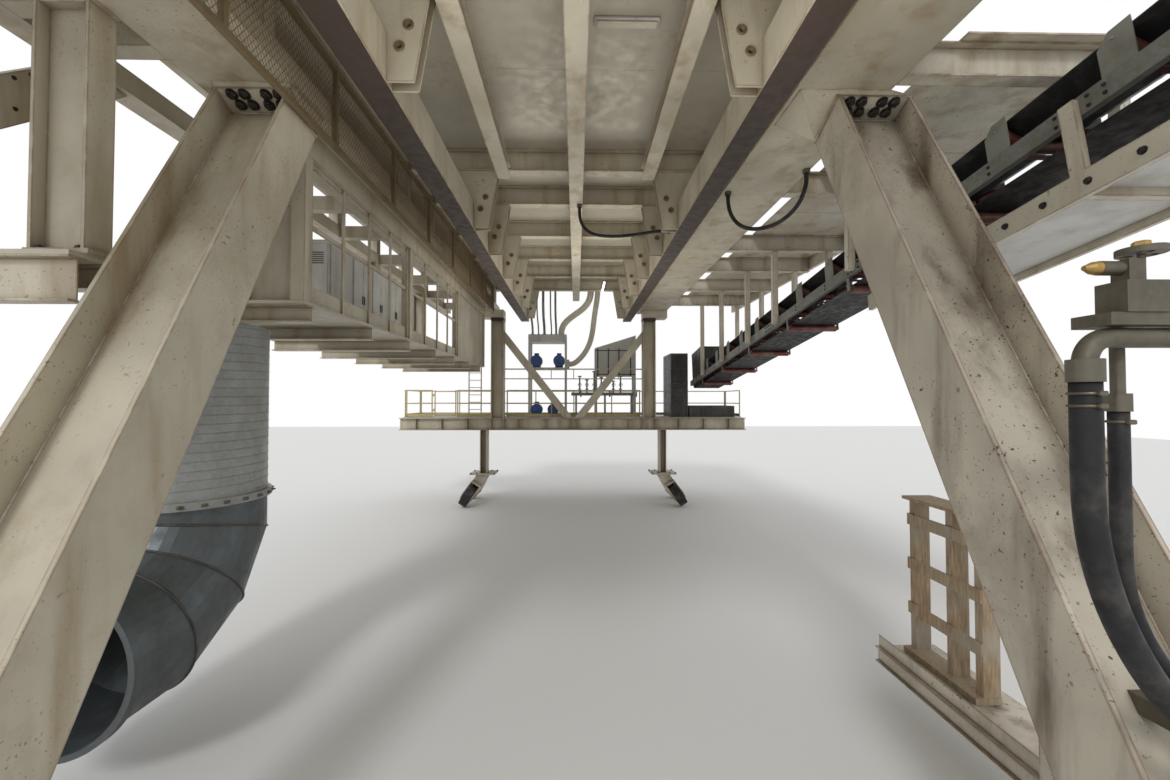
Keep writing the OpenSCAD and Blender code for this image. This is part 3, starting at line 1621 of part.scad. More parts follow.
module ladder() {
    steel()
        translate([ladder_x, steel_front + 60, platform_z]) {
            for (x = [0, ladder_w])
                translate([x, 0, 0])
                    cylinder(h = deck_top - platform_z + 1000, d = 50);
            for (z = [300:300:deck_top - platform_z])
                translate([0, 0, z])
                    rotate([0, 90, 0])
                        cylinder(h = ladder_w, d = 28);
        }
}

girder_left();
girder_left_posts();
girder_right();
outrigger_left();
outrigger_ties();
leg_heads();
leg_rear_left();
leg_rear_right();
portal_posts();
portal_brace();
platform_beams();
platform_floor();
platform_rails();
platform_gate();
bogies();
wheel_1();
wheel_2();
wheel_3();
wheel_4();
wheel_5();
wheel_6();
wheel_7();
wheel_8();
runways();
runway_hangers();
cross_beams();
deck_stringers();
deck_panels();
deck_rails();
mesh_guard_frame();
mesh_guard_panels();
gallery_floor();
gallery_beams();
gallery_fascia();
gallery_posts();
gallery_windows();
gallery_end_wall();
gallery_door();
cabinets();
light_tubes();
conveyor_stringers();
conveyor_belt();
conveyor_idlers();
conveyor_arms();
conveyor_hangers();
conveyor_tail();
air_duct();
duct_elbow();
tow_lugs();
ladder();
pump_units();
supply_ducts();
hose_fittings();
hose_thick();
hose_thin();
cable_loop_a();
cable_loop_b();
side_landing();
landing_timber();
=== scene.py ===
# %% [markdown]
# # A backup gantry of a tunnel boring machine, dressed for its picture
# A backup gantry is a steel table on wheels that is towed behind the machine. It carries the muck conveyor,
# the air duct, electrical cabinets and pumps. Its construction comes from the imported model, which is loaded
# as a fixed frame at real size. This lesson adds what a visitor sees close up: worn enamel, woven wire,
# bolts, welds, pipes, hoses and lamps. Everything is in metres, with X to the right, Y forward and Z up.

# %% Load the frame
from math import cos, pi, radians, sin

import bpy
import numpy as np
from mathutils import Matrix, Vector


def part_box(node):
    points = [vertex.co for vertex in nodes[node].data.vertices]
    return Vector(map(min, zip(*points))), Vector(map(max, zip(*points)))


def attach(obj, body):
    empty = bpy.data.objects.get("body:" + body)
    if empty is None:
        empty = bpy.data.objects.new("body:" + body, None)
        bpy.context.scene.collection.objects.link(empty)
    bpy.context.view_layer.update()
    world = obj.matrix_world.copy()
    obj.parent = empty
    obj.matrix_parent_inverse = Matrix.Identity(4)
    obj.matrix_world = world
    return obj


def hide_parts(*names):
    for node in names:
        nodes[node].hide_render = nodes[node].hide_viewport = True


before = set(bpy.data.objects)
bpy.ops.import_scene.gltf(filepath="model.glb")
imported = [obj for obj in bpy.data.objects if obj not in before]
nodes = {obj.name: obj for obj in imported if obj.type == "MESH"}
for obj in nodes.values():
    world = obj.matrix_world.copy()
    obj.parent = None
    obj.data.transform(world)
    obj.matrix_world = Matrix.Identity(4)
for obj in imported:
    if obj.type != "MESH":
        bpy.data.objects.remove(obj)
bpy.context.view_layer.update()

# %% [markdown]
# ## Camera
# The view is from behind and between the rear legs, 0.1 m right of the middle and about 4 m up, with a very
# wide lens tipped up a little. A lens length can be guessed, but it is safer to measure it: two parallel
# beams of known distance, here the crane runways, close in with depth at a rate that only one focal length
# gives.

# %% Camera behind the gantry
CAMERA_PLACE = (0.1, -10.5, 4.06)
CAMERA_TILT, CAMERA_PAN = 91.2, -1.1
LENS_MM, SENSOR_MM = 14.28, 36

camera_data = bpy.data.cameras.new("camera")
camera_data.lens = LENS_MM
camera_data.sensor_width = SENSOR_MM
camera = bpy.data.objects.new("camera", camera_data)
camera.location = CAMERA_PLACE
camera.rotation_euler = (radians(CAMERA_TILT), 0, radians(CAMERA_PAN))
bpy.context.scene.collection.objects.link(camera)
bpy.context.scene.camera = camera
print("camera:", CAMERA_PLACE, "lens", LENS_MM, "mm")

# %% [markdown]
# ## Forms
# Steelwork repeats itself: the same bolt sits in hundreds of places. Such a piece could be an instance of one
# object, but then each copy is an object of its own. Here a form is a pair of arrays instead, its points and
# its four-cornered faces. Copies are made by adding an array of places, so that no loop visits a single
# point.


# %% Joining and copying forms
def join(forms):
    """One form from several: the points are stacked, and each face list is raised by the points before it."""
    points, faces, start = [], [], 0
    for form_points, form_faces in forms:
        points.append(form_points)
        faces.append(form_faces + start)
        start += len(form_points)
    return np.concatenate(points), np.concatenate(faces)


def copies(form, places, turns=None):
    """A form at many places: point = turn matrix times form point, plus place."""
    points, faces = form
    places = np.asarray(places, float)
    if turns is None:
        turned = np.repeat(points[None], len(places), 0)
    else:
        turned = np.einsum("mij,nj->mni", turns, points)
    all_points = (turned + places[:, None, :]).reshape(-1, 3)
    first_points = (np.arange(len(places)) * len(points))[:, None, None]
    return all_points, (faces[None] + first_points).reshape(-1, 4)


def flipped(form):
    """The same form with its faces wound the other way, which turns them to their other side."""
    return form[0], form[1][:, ::-1]


print("forms can be joined and copied")


# %% A form becomes an object
def piece(name, form, material, body="root", smooth=False, replaced=()):
    """A mesh object that rides on a body, with its material. A face that names one
    point twice becomes a triangle, and the object stays at the origin, because the place is in the points."""
    points, faces = form
    mesh = bpy.data.meshes.new(name)
    mesh.from_pydata(points.tolist(), [], [tuple(dict.fromkeys(corners)) for corners in faces.tolist()])
    mesh.polygons.foreach_set("use_smooth", np.full(len(mesh.polygons), smooth))
    mesh.materials.append(material)
    made = bpy.data.objects.new(name, mesh)
    bpy.context.scene.collection.objects.link(made)
    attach(made, body)
    if replaced:
        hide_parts(*replaced)
    print(f"{name}: {len(points)} points, {len(faces)} faces")
    return made


print("forms can become pieces")

# %% [markdown]
# ## Turned forms and tubes
# A bolt head, a flange and a tyre are all turned on a lathe: a profile goes round an axis. A pipe, a weld and
# a wire are a circle that goes along a path. Blender's Screw modifier and curve bevel do the same, but a
# formula on a grid of rings gives the points at once and lets the radius change on the way.


# %% Rings, turned forms and tubes
def grid_faces(rows, sides):
    """Faces between closed rings: corner (row, side) joins (row, side + 1) and the same two one row on."""
    row, side = np.meshgrid(np.arange(rows - 1), np.arange(sides), indexing="ij")
    here, beside = row * sides + side, row * sides + (side + 1) % sides
    return np.stack([here, beside, beside + sides, here + sides], -1).reshape(-1, 4)


def lathe(profile, sides):
    """A turned form about Z: point = (r cos a, r sin a, z) for each (r, z) of the profile."""
    profile = np.asarray(profile, float)
    a = np.arange(sides) * 2 * pi / sides
    ring = np.stack([np.cos(a), np.sin(a)], -1)
    flat = profile[:, None, :1] * ring[None]
    heights = np.repeat(profile[:, None, 1:], sides, 1)
    return np.concatenate([flat, heights], -1).reshape(-1, 3), grid_faces(len(profile), sides)


def rings_along(path, ahead, radius, sides, across):
    """Circles square to a path: point = p + r (cos a n + sin a b), with n square to across and to the
    direction ahead, and b square to both."""
    ahead = ahead / np.linalg.norm(ahead, axis=1)[:, None]
    n = np.cross(np.asarray(across, float), ahead)
    n /= np.linalg.norm(n, axis=1)[:, None]
    b = np.cross(ahead, n)
    a = np.arange(sides) * 2 * pi / sides
    circle = np.cos(a)[:, None] * n[:, None] + np.sin(a)[:, None] * b[:, None]
    return (path[:, None] + radius * circle).reshape(-1, 3)


def swept(path, radius, sides, across):
    """A tube along an open path, its direction from the neighbours' chord, its ends closed by a fan."""
    path = np.asarray(path, float)
    ahead = np.gradient(path, axis=0)
    ahead[0], ahead[-1] = path[1] - path[0], path[-1] - path[-2]
    points = np.concatenate([rings_along(path, ahead, radius, sides, across), path[:1], path[-1:]])
    side, beside = np.arange(sides), (np.arange(sides) + 1) % sides
    end = (len(path) - 1) * sides
    first_hub, last_hub = np.full(sides, len(points) - 2), np.full(sides, len(points) - 1)
    first = np.stack([beside, side, first_hub, first_hub], -1)
    last = np.stack([end + side, end + beside, last_hub, last_hub], -1)
    return points, np.concatenate([grid_faces(len(path), sides), first, last])


def closed_tube(loop, radius, sides, across):
    """A tube round a closed flat loop: the last ring joins the first, and across is the loop's normal."""
    loop = np.asarray(loop, float)
    ahead = np.roll(loop, -1, 0) - np.roll(loop, 1, 0)
    faces = grid_faces(len(loop) + 1, sides) % (len(loop) * sides)
    return rings_along(loop, ahead, radius, sides, across), faces


print("rings, turned forms and tubes ready")

# %% [markdown]
# ## Blocks and turns
# A sawn or folded plate is never a perfect box: its rim is broken, and that rim catches the light. The Bevel
# modifier would round every plate, but it multiplies the faces. A block with cut corners needs only 32
# points, and it is placed by two opposite corners, as a designer would give it.


# %% Blocks and turns
def chamfered(low, high, c):
    """A block between two corners: an octagon with corners cut by c, stacked at four heights, of which the
    lowest and the highest are drawn in by c."""
    low, high = np.asarray(low, float), np.asarray(high, float)
    wide, deep = high[:2] - low[:2]
    x = np.array([c, wide - c, wide, wide, wide - c, c, 0, 0])
    y = np.array([0, 0, c, deep - c, deep, deep, deep - c, c])
    middle = np.array([wide, deep]) / 2
    from_middle = np.stack([x, y], -1) - middle
    rings = []
    for inset, z in ((1, low[2]), (0, low[2] + c), (0, high[2] - c), (1, high[2])):
        ring = middle + from_middle * (1 - inset * c / middle)
        rings.append(np.column_stack([ring + low[:2], np.full(8, z)]))
    caps = np.array([[3, 2, 1, 0], [5, 4, 3, 0], [7, 6, 5, 0],
                     [24, 25, 26, 27], [24, 27, 28, 29], [24, 29, 30, 31]])
    return np.concatenate(rings), np.concatenate([grid_faces(4, 8), caps])


def blade(low, high):
    """A plain thin block, for blades too fine to need a rim: its eight points in binary order."""
    low, high = np.asarray(low, float), np.asarray(high, float)
    pick = (np.arange(8)[:, None] >> np.arange(3)) & 1
    faces = np.array([[0, 2, 3, 1], [4, 5, 7, 6], [0, 1, 5, 4], [2, 6, 7, 3], [0, 4, 6, 2], [1, 3, 7, 5]])
    return low + pick * (high - low), faces


def about_x(angle):
    """The matrix of a turn about X, angle in degrees: Y goes to (cos, sin), Z to (-sin, cos)."""
    c, s = cos(radians(angle)), sin(radians(angle))
    return np.array([[1, 0, 0], [0, c, -s], [0, s, c]])


def about_y(angle):
    """The matrix of a turn about Y, angle in degrees: Z goes to (sin, cos), X to (cos, -sin)."""
    c, s = cos(radians(angle)), sin(radians(angle))
    return np.array([[c, 0, s], [0, 1, 0], [-s, 0, c]])


UP, DOWN = np.eye(3), about_x(180)
BACK, FRONT = about_x(90), about_x(-90)
RIGHT, LEFT = about_y(90), about_y(-90)


def grid(xs, ys, zs):
    """All places that three rows of coordinates make together."""
    return np.stack(np.meshgrid(xs, ys, zs, indexing="ij"), -1).reshape(-1, 3)


def facing(form, places, turn):
    """A form at many places, all turned the same way: UP, DOWN, BACK, FRONT, RIGHT or LEFT."""
    places = np.asarray(places, float)
    return copies(form, places, np.repeat(turn[None], len(places), 0))


print("blocks and turns ready")

# %% [markdown]
# ## Finishes
# Enamel underground is never one colour. It could be painted as a picture, but a picture has one size and
# seams. Each finish is a stack of procedural layers on object coordinates instead, so it works at any
# distance: a slow change of tone over metres, stains that run down, specks, painted shade in inner corners
# and bare metal on knocked edges. The class below only shortens the writing: each method adds one or two
# nodes and returns the socket to go on with.


# %% A material with short words for its nodes
class Finish:
    """One principled material. Its methods take values that are sockets, which are linked, or constants."""

    def __init__(self, name, metallic=0.0, specular=0.5):
        self.material = bpy.data.materials.new(name)
        self.material.use_nodes = True
        self.nodes = self.material.node_tree.nodes
        self.links = self.material.node_tree.links
        self.shader = self.nodes["Principled BSDF"]
        self.shader.inputs["Metallic"].default_value = metallic
        self.shader.inputs["Specular IOR Level"].default_value = specular
        self.place = self.nodes.new("ShaderNodeTexCoord").outputs["Object"]

    def link(self, value, socket):
        """A socket is linked, a constant is set."""
        if hasattr(value, "links"):
            self.links.new(value, socket)
        else:
            socket.default_value = value

    def mapped(self, scale=(1, 1, 1), turn=0.0):
        """Object coordinates turned about Z and multiplied by a scale for each axis."""
        node = self.nodes.new("ShaderNodeMapping")
        node.inputs["Rotation"].default_value = (0, 0, radians(turn))
        node.inputs["Scale"].default_value = scale
        self.link(self.place, node.inputs["Vector"])
        return node.outputs["Vector"]

    def noise(self, scale, detail=4.0, stretch=(1, 1, 1), rough=0.55):
        """Cloudy noise from 0 to 1 at scale waves to the metre; a small stretch draws it out on that axis."""
        node = self.nodes.new("ShaderNodeTexNoise")
        node.inputs["Scale"].default_value = scale
        node.inputs["Detail"].default_value = detail
        node.inputs["Roughness"].default_value = rough
        self.link(self.mapped(stretch), node.inputs["Vector"])
        return node.outputs["Fac"]

    def cells(self, scale, place, randomness=1.0):
        """A Voronoi texture: the distance to the nearest seed and that seed's random colour."""
        node = self.nodes.new("ShaderNodeTexVoronoi")
        node.inputs["Scale"].default_value = scale
        node.inputs["Randomness"].default_value = randomness
        self.link(place, node.inputs["Vector"])
        return node.outputs["Distance"], node.outputs["Color"]

    def ramp(self, value, low, high, out_low=0.0, out_high=1.0):
        """Smooth step from out_low where the value is low to out_high where it is high."""
        node = self.nodes.new("ShaderNodeMapRange")
        node.interpolation_type = "SMOOTHSTEP"
        limits = {"From Min": low, "From Max": high, "To Min": out_low, "To Max": out_high}
        for name, limit in limits.items():
            node.inputs[name].default_value = limit
        self.link(value, node.inputs["Value"])
        return node.outputs["Result"]

    def math(self, operation, a, b=0.0, clamp=True):
        """One step of arithmetic, held between 0 and 1 unless clamp is off."""
        node = self.nodes.new("ShaderNodeMath")
        node.operation = operation
        node.use_clamp = clamp
        self.link(a, node.inputs[0])
        self.link(b, node.inputs[1])
        return node.outputs[0]

    def mix(self, amount, a, b):
        """Colour a where the amount is 0, colour b where it is 1."""
        node = self.nodes.new("ShaderNodeMix")
        node.data_type = "RGBA"
        self.link(amount, node.inputs["Factor"])
        for value, socket in ((a, node.inputs[6]), (b, node.inputs[7])):
            self.link((*value, 1.0) if isinstance(value, tuple) else value, socket)
        return node.outputs[2]

    def part(self, vector, index):
        """One number of a vector: 0 for X, 1 for Y, 2 for Z."""
        node = self.nodes.new("ShaderNodeSeparateXYZ")
        self.link(vector, node.inputs[0])
        return node.outputs[index]

    def true_normal(self):
        """The direction that the face itself points in."""
        return self.nodes.new("ShaderNodeNewGeometry").outputs["True Normal"]

    def edges(self, radius, low=0.02, high=0.3):
        """Sharp outer edges: one minus the dot product of rounded and true normal, as a smooth step."""
        bevel = self.nodes.new("ShaderNodeBevel")
        bevel.samples = 3
        bevel.inputs["Radius"].default_value = radius
        dot = self.nodes.new("ShaderNodeVectorMath")
        dot.operation = "DOT_PRODUCT"
        self.link(bevel.outputs["Normal"], dot.inputs[0])
        self.link(self.true_normal(), dot.inputs[1])
        return self.ramp(self.math("SUBTRACT", 1.0, dot.outputs["Value"]), low, high)

    def corners(self, reach, low=0.22, high=0.75):
        """Inner corners: one minus the open share of the half sphere within reach, as a smooth step."""
        shade = self.nodes.new("ShaderNodeAmbientOcclusion")
        shade.samples = 4
        shade.inputs["Distance"].default_value = reach
        return self.ramp(self.math("SUBTRACT", 1.0, shade.outputs["AO"]), low, high)

    def bump(self, height, strength, distance):
        """Relief that is too fine for geometry, such as the grain of paint."""
        node = self.nodes.new("ShaderNodeBump")
        node.inputs["Strength"].default_value = strength
        node.inputs["Distance"].default_value = distance
        self.link(height, node.inputs["Height"])
        self.link(node.outputs["Normal"], self.shader.inputs["Normal"])

    def done(self, colour, rough):
        """The finished material, with its last colour and roughness."""
        self.link(colour, self.shader.inputs["Base Color"])
        self.link(rough, self.shader.inputs["Roughness"])
        return self.material


print("finish class ready")

# %% [markdown]
# ## Enamel
# The cream paint of the steelwork, the yellow of the rails and the blue of the motors age in the same way, so
# one function makes them all. It works from the whole to the small: tone, stains, specks, painted shade in
# inner corners, knocked edges. The share of dirt and of painted corner shade is one number, so that a
# sheltered cabinet and a splashed leg can differ by it alone.


# %% The layers of enamel
def toned(f, colour):
    """Tone: the colour times 0.82 to times 1.12, changing slowly at 0.6 waves to the metre."""
    tone = f.ramp(f.noise(0.6, 3.0), 0.3, 0.7)
    return tone, f.mix(tone, tuple(c * 0.82 for c in colour), tuple(min(1.0, c * 1.12) for c in colour))


def stained(f, base, colour, dirt, amount):
    """Stains: dirt in runs drawn out six times in height, then patches of six parts colour to four dirt."""
    runs = f.ramp(f.noise(2.6, 7.0, (1, 1, 0.16)), 0.48, 0.74, 0.0, min(0.95, 0.8 * amount))
    base = f.mix(runs, base, dirt)
    patches = f.ramp(f.noise(1.1, 8.0, rough=0.72), 0.47, 0.68, 0.0, min(1.0, 0.85 * amount))
    return f.mix(patches, base, tuple(0.6 * c + 0.4 * d for c, d in zip(colour, dirt)))


def specked(f, base, dirt, amount):
    """Specks: the peaks of a fine and of a coarser noise, kept only where a broad noise is high."""
    near = f.ramp(f.noise(0.9, 2.0), 0.38, 0.58)
    for scale, peak in ((38.0, 0.64), (15.0, 0.66)):
        specks = f.math("MULTIPLY", f.ramp(f.noise(scale, 3.0), peak, peak + 0.06), near)
        base = f.mix(f.math("MULTIPLY", specks, min(1.0, 0.75 * amount)), base, tuple(0.6 * d for d in dirt))
    return base


def knocked(f, base, worn, dirt, amount, edge):
    """Corners and edges: painted shade in inner corners, half the dirt colour where occlusion is high, and
    worn metal where an edge and a noise meet.
    """
    # painted shade: inner corners found by ambient occlusion are darkened towards half the dirt colour
    corner_shade = f.math("MULTIPLY", f.corners(0.3), 0.75 * min(1.0, amount))
    base = f.mix(corner_shade, base, tuple(0.5 * d for d in dirt))
    broken = f.math("MULTIPLY", f.edges(edge), f.ramp(f.noise(4.5, 5.0), 0.36, 0.56, 0.15, 1.0))
    return f.mix(f.math("MULTIPLY", broken, amount), base, worn)


def enamel(name, colour, worn, dirt, amount=1.0, edge=0.03, dark=None):
    """All layers in order; dark, a height and a colour, paints everything below that height."""
    f = Finish(name)
    tone, base = toned(f, colour)
    base = stained(f, base, colour, dirt, amount)
    base = specked(f, base, dirt, amount)
    base = knocked(f, base, worn, dirt, amount, edge)
    if dark:
        height, paint = dark
        below = f.math("LESS_THAN", f.part(f.place, 2), height)
        base = f.mix(below, base, f.mix(tone, tuple(c * 0.7 for c in paint), paint))
    f.bump(f.noise(55.0, 4.0), 0.18, 0.004)
    return f.done(base, f.ramp(f.noise(7.0, 4.0), 0.3, 0.7, 0.42, 0.68))


print("enamel layers ready")

# %% [markdown]
# The runways need two paints on one node, cream sides and a dark, greasy underside where the hoist's wheels
# run. A second material slot would need the faces to be sorted, so the height of the point decides instead.

# %% The enamels
RUST = (0.20, 0.085, 0.035)
TAN = (0.33, 0.245, 0.14)
WORN = (0.22, 0.115, 0.045)
CREAM = (0.55, 0.505, 0.40)
runway_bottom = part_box("runways")[0][2]
grease = (runway_bottom + 0.0025, (0.060, 0.040, 0.030))

cream = enamel("cream_enamel", CREAM, WORN, TAN)
runway_paint = enamel("runway_enamel", CREAM, WORN, TAN, dark=grease)
splattered = enamel("splattered_enamel", (0.58, 0.53, 0.43), RUST, (0.12, 0.085, 0.05), 1.7)
dusty = enamel("dusty_enamel", (0.63, 0.59, 0.49), RUST, TAN, 1.2)
tank_paint = enamel("cabinet_enamel", (0.60, 0.60, 0.57), RUST, (0.30, 0.28, 0.24), 0.6)
pale_yellow = enamel("rail_enamel", (0.63, 0.53, 0.27), RUST, (0.35, 0.30, 0.18), 0.8)
blue = enamel("pump_enamel", (0.035, 0.10, 0.36), (0.30, 0.30, 0.30), (0.06, 0.06, 0.07), 0.8)
black_enamel = enamel("hopper_enamel", (0.030, 0.030, 0.032), (0.22, 0.16, 0.11), (0.13, 0.11, 0.09), 0.9)
duct_cream = enamel("duct_cover", (0.66, 0.62, 0.50), TAN, (0.30, 0.26, 0.18), 0.6)
print("enamels made:", len(bpy.data.materials))

# %% [markdown]
# ## Bare metals
# Galvanised sheet shows a faint pattern of zinc crystals under the dust. Scratches or plain noise would read
# as brushed steel, but the cells of a Voronoi texture, each with its own grey, read as zinc. The same
# function with other colours gives oily wire, fittings and brass, whose crystals are too weak to see.


# %% Zinc, wire, fittings and brass
def galvanised(name, colour, dust, metallic, spangle):
    """Zinc: each cell's grey shifts the colour by up to the share spangle, then come dust and rust."""
    f = Finish(name, metallic=metallic)
    grey = f.nodes.new("ShaderNodeRGBToBW")
    f.link(f.cells(26.0, f.place)[1], grey.inputs[0])
    darker, brighter = (tuple(c * share for c in colour) for share in (1 - spangle, 1 + spangle))
    base = f.mix(f.ramp(grey.outputs[0], 0.1, 0.9), darker, brighter)
    base = f.mix(f.ramp(f.noise(1.6, 7.0, (1, 1, 0.5), 0.7), 0.45, 0.75, 0.0, 0.75), base, dust)
    base = f.mix(f.math("MULTIPLY", f.edges(0.008), 0.5), base, RUST)
    f.bump(f.noise(18.0, 5.0), 0.15, 0.004)
    return f.done(base, f.ramp(f.noise(5.0, 5.0), 0.3, 0.7, 0.34, 0.62))


zinc = galvanised("zinc_sheet", (0.25, 0.26, 0.24), (0.15, 0.135, 0.10), 0.5, 0.1)
duct_zinc = galvanised("duct_zinc", (0.30, 0.31, 0.30), (0.24, 0.225, 0.19), 0.3, 0.06)
elbow_zinc = galvanised("elbow_zinc", (0.105, 0.12, 0.125), (0.085, 0.085, 0.08), 0.5, 0.05)
wire_steel = galvanised("wire_steel", (0.21, 0.16, 0.09), (0.13, 0.085, 0.04), 0.2, 0.06)
fitting_steel = galvanised("fitting_steel", (0.155, 0.14, 0.105), (0.07, 0.055, 0.035), 0.5, 0.05)
brass = galvanised("fitting_brass", (0.55, 0.36, 0.12), (0.22, 0.15, 0.07), 0.8, 0.05)
print("metals made")

# %% [markdown]
# High strength bolts are blackened in hot oil, and their rims are rubbed bare by the spanner. The idlers of
# the belt are dark red rollers between galvanised plates. As on the runways, the place of a point tells the
# two apart.


# %% Blackened bolts and painted idlers
def bolt_black():
    """Dark oxide in two tones with a worn, slightly brown rim."""
    f = Finish("bolt_black", metallic=0.6)
    base = f.mix(f.ramp(f.noise(20.0), 0.35, 0.7), (0.018, 0.018, 0.020), (0.060, 0.050, 0.042))
    base = f.mix(f.math("MULTIPLY", f.edges(0.004), 0.6), base, (0.22, 0.19, 0.16))
    f.bump(f.noise(90.0), 0.2, 0.001)
    return f.done(base, f.ramp(f.noise(14.0), 0.3, 0.7, 0.35, 0.55))


def idler_paint(belt_middle, half_width):
    """Zinc where the distance from the belt's middle is over half a width, dark red nearer to it."""
    f = Finish("idler_paint", metallic=0.2)
    red = f.mix(f.ramp(f.noise(3.0, 6.0), 0.4, 0.7), (0.165, 0.040, 0.035), (0.21, 0.14, 0.10))
    grey = f.mix(f.ramp(f.noise(2.2, 6.0), 0.4, 0.7), (0.26, 0.27, 0.24), (0.16, 0.14, 0.10))
    off = f.math("SUBTRACT", f.part(f.place, 0), belt_middle, clamp=False)
    distance = f.math("ABSOLUTE", off, clamp=False)
    base = f.mix(f.math("GREATER_THAN", distance, half_width), red, grey)
    base = f.mix(f.math("MULTIPLY", f.edges(0.008), 0.6), base, RUST)
    f.bump(f.noise(30.0), 0.15, 0.003)
    return f.done(base, f.ramp(f.noise(8.0), 0.3, 0.7, 0.4, 0.65))


bolts_dark = bolt_black()
idlers = idler_paint(belt_middle=5.5, half_width=0.543)
print("bolts and idlers made")

# %% [markdown]
# ## Rubber and timber
# Hoses, belt and tyres are the same black rubber with more or less dust, and what tells rubber from paint is
# its soft, broad shine. The boards of the side landing are sawn timber: a noise drawn out along the board
# makes the grain, and the same noise lifts it.


# %% Rubber and timber
def rubber(name, colour, dust, amount):
    """Rubber: dust in patches up to the given amount, and a fine mould grain."""
    f = Finish(name, specular=0.35)
    base = f.mix(f.ramp(f.noise(3.0, 6.0, rough=0.7), 0.45, 0.75, 0.0, amount), colour, dust)
    f.bump(f.noise(120.0, 3.0), 0.15, 0.001)
    return f.done(base, f.ramp(f.noise(9.0), 0.3, 0.7, 0.45, 0.75))


def sawn_timber():
    """Sawn boards: grain eleven times longer in height than across, with greyed patches."""
    f = Finish("sawn_timber", specular=0.25)
    grain = f.noise(46.0, 6.0, (1.0, 0.7, 0.09), 0.6)
    base = f.mix(f.ramp(grain, 0.3, 0.7), (0.27, 0.18, 0.105), (0.45, 0.35, 0.23))
    base = f.mix(f.ramp(f.noise(1.3, 6.0), 0.42, 0.66, 0.0, 0.75), base, (0.40, 0.37, 0.31))
    f.bump(grain, 0.4, 0.003)
    return f.done(base, 0.8)


hose_black = rubber("hose_cover", (0.018, 0.018, 0.020), (0.12, 0.11, 0.095), 0.5)
belt_black = rubber("belt_cover", (0.014, 0.014, 0.015), (0.085, 0.078, 0.068), 0.7)
tyre_black = rubber("tyre_tread", (0.022, 0.022, 0.024), (0.20, 0.18, 0.15), 0.75)
timber = sawn_timber()
print("rubber and timber made")

# %% [markdown]
# ## Lamps and floor plates
# A lit diffuser gives off light of its own, so its shader glows instead of reflecting a lamp. Floors are
# chequer plate, trodden on top and painted cream below. Raised ribs as geometry would take millions of faces
# over this deck, so crossed Voronoi cells lift them as bump, and only where the plate's own face looks up.


# %% Lamps and floor plates
def lamp_glow():
    """A fluorescent diffuser: slightly yellowed white plastic with warm white emission."""
    f = Finish("lamp_diffuser", specular=0.3)
    base = f.mix(f.ramp(f.noise(12.0), 0.4, 0.7, 0.0, 0.12), (0.92, 0.93, 0.88), (0.7, 0.68, 0.6))
    f.shader.inputs["Emission Color"].default_value = (1.0, 0.985, 0.94, 1.0)
    f.shader.inputs["Emission Strength"].default_value = 2.2
    return f.done(base, 0.35)


def chequer_plate():
    """Ribs: the larger of two families of long cells turned 45 degrees either way, on faces that look up. The
    top is trodden steel with bright ribs, the underside is stained cream."""
    f = Finish("chequer_plate", metallic=0.25)
    ribs = [f.ramp(f.cells(16.0, f.mapped((1.0, 3.0, 1.0), turn), 0.0)[0], 0.18, 0.34, 1.0, 0.0)
            for turn in (45, -45)]
    top = f.math("GREATER_THAN", f.part(f.true_normal(), 2), 0.5)
    ribs = f.math("MULTIPLY", f.math("MAXIMUM", *ribs), top)
    trodden = f.mix(f.ramp(f.noise(1.3, 7.0, rough=0.7), 0.35, 0.7), (0.35, 0.33, 0.285), (0.27, 0.235, 0.18))
    trodden = f.mix(f.math("MULTIPLY", ribs, 0.35), trodden, (0.55, 0.52, 0.45))
    under = f.mix(f.ramp(f.noise(0.7, 3.0), 0.3, 0.7), (0.46, 0.425, 0.35), (0.58, 0.54, 0.45))
    under = f.mix(f.ramp(f.noise(1.4, 7.0, rough=0.7), 0.52, 0.78, 0.0, 0.6), under, (0.30, 0.24, 0.15))
    f.bump(ribs, 0.5, 0.004)
    return f.done(f.mix(top, under, trodden), f.ramp(f.noise(6.0), 0.3, 0.7, 0.4, 0.7))


lamp = lamp_glow()
plate = chequer_plate()
print("finishes made:", len(bpy.data.materials))

# %% [markdown]
# ## Dressing the construction
# Girders, legs, belt and duct keep their own shapes and only get their finishes. A table says which finish
# each node takes, and what isn't named is cream enamel. The right rear leg stands under the muck belt, which
# drips, so it takes the splattered paint, and so do the bogies near the ground.

# %% Finishes of the carried-over nodes
names_of = [
    (plate, "gallery_floor deck_panels platform_floor"),
    (pale_yellow, "platform_rails platform_gate deck_rails"),
    (splattered, "leg_rear_right side_landing bogies"),
    (dusty, "conveyor_hangers conveyor_arms"),
    (wire_steel, "mesh_guard_panels mesh_guard_frame"),
    (runway_paint, "runways"), (tank_paint, "cabinets"), (blue, "pump_units"),
    (black_enamel, "conveyor_tail"),
    (duct_cream, "supply_ducts"), (zinc, "conveyor_stringers"), (duct_zinc, "air_duct"),
    (elbow_zinc, "duct_elbow"), (idlers, "conveyor_idlers"), (belt_black, "conveyor_belt"),
    (fitting_steel, "hose_fittings"), (timber, "landing_timber"), (lamp, "light_tubes"),
]
finish_of = {name: finish for finish, names in names_of for name in names.split()}
for name, node in nodes.items():
    for material_slot in node.material_slots:
        material_slot.material = finish_of.get(name, cream)
print("named finishes:", len(finish_of), "of", len(nodes), "nodes")
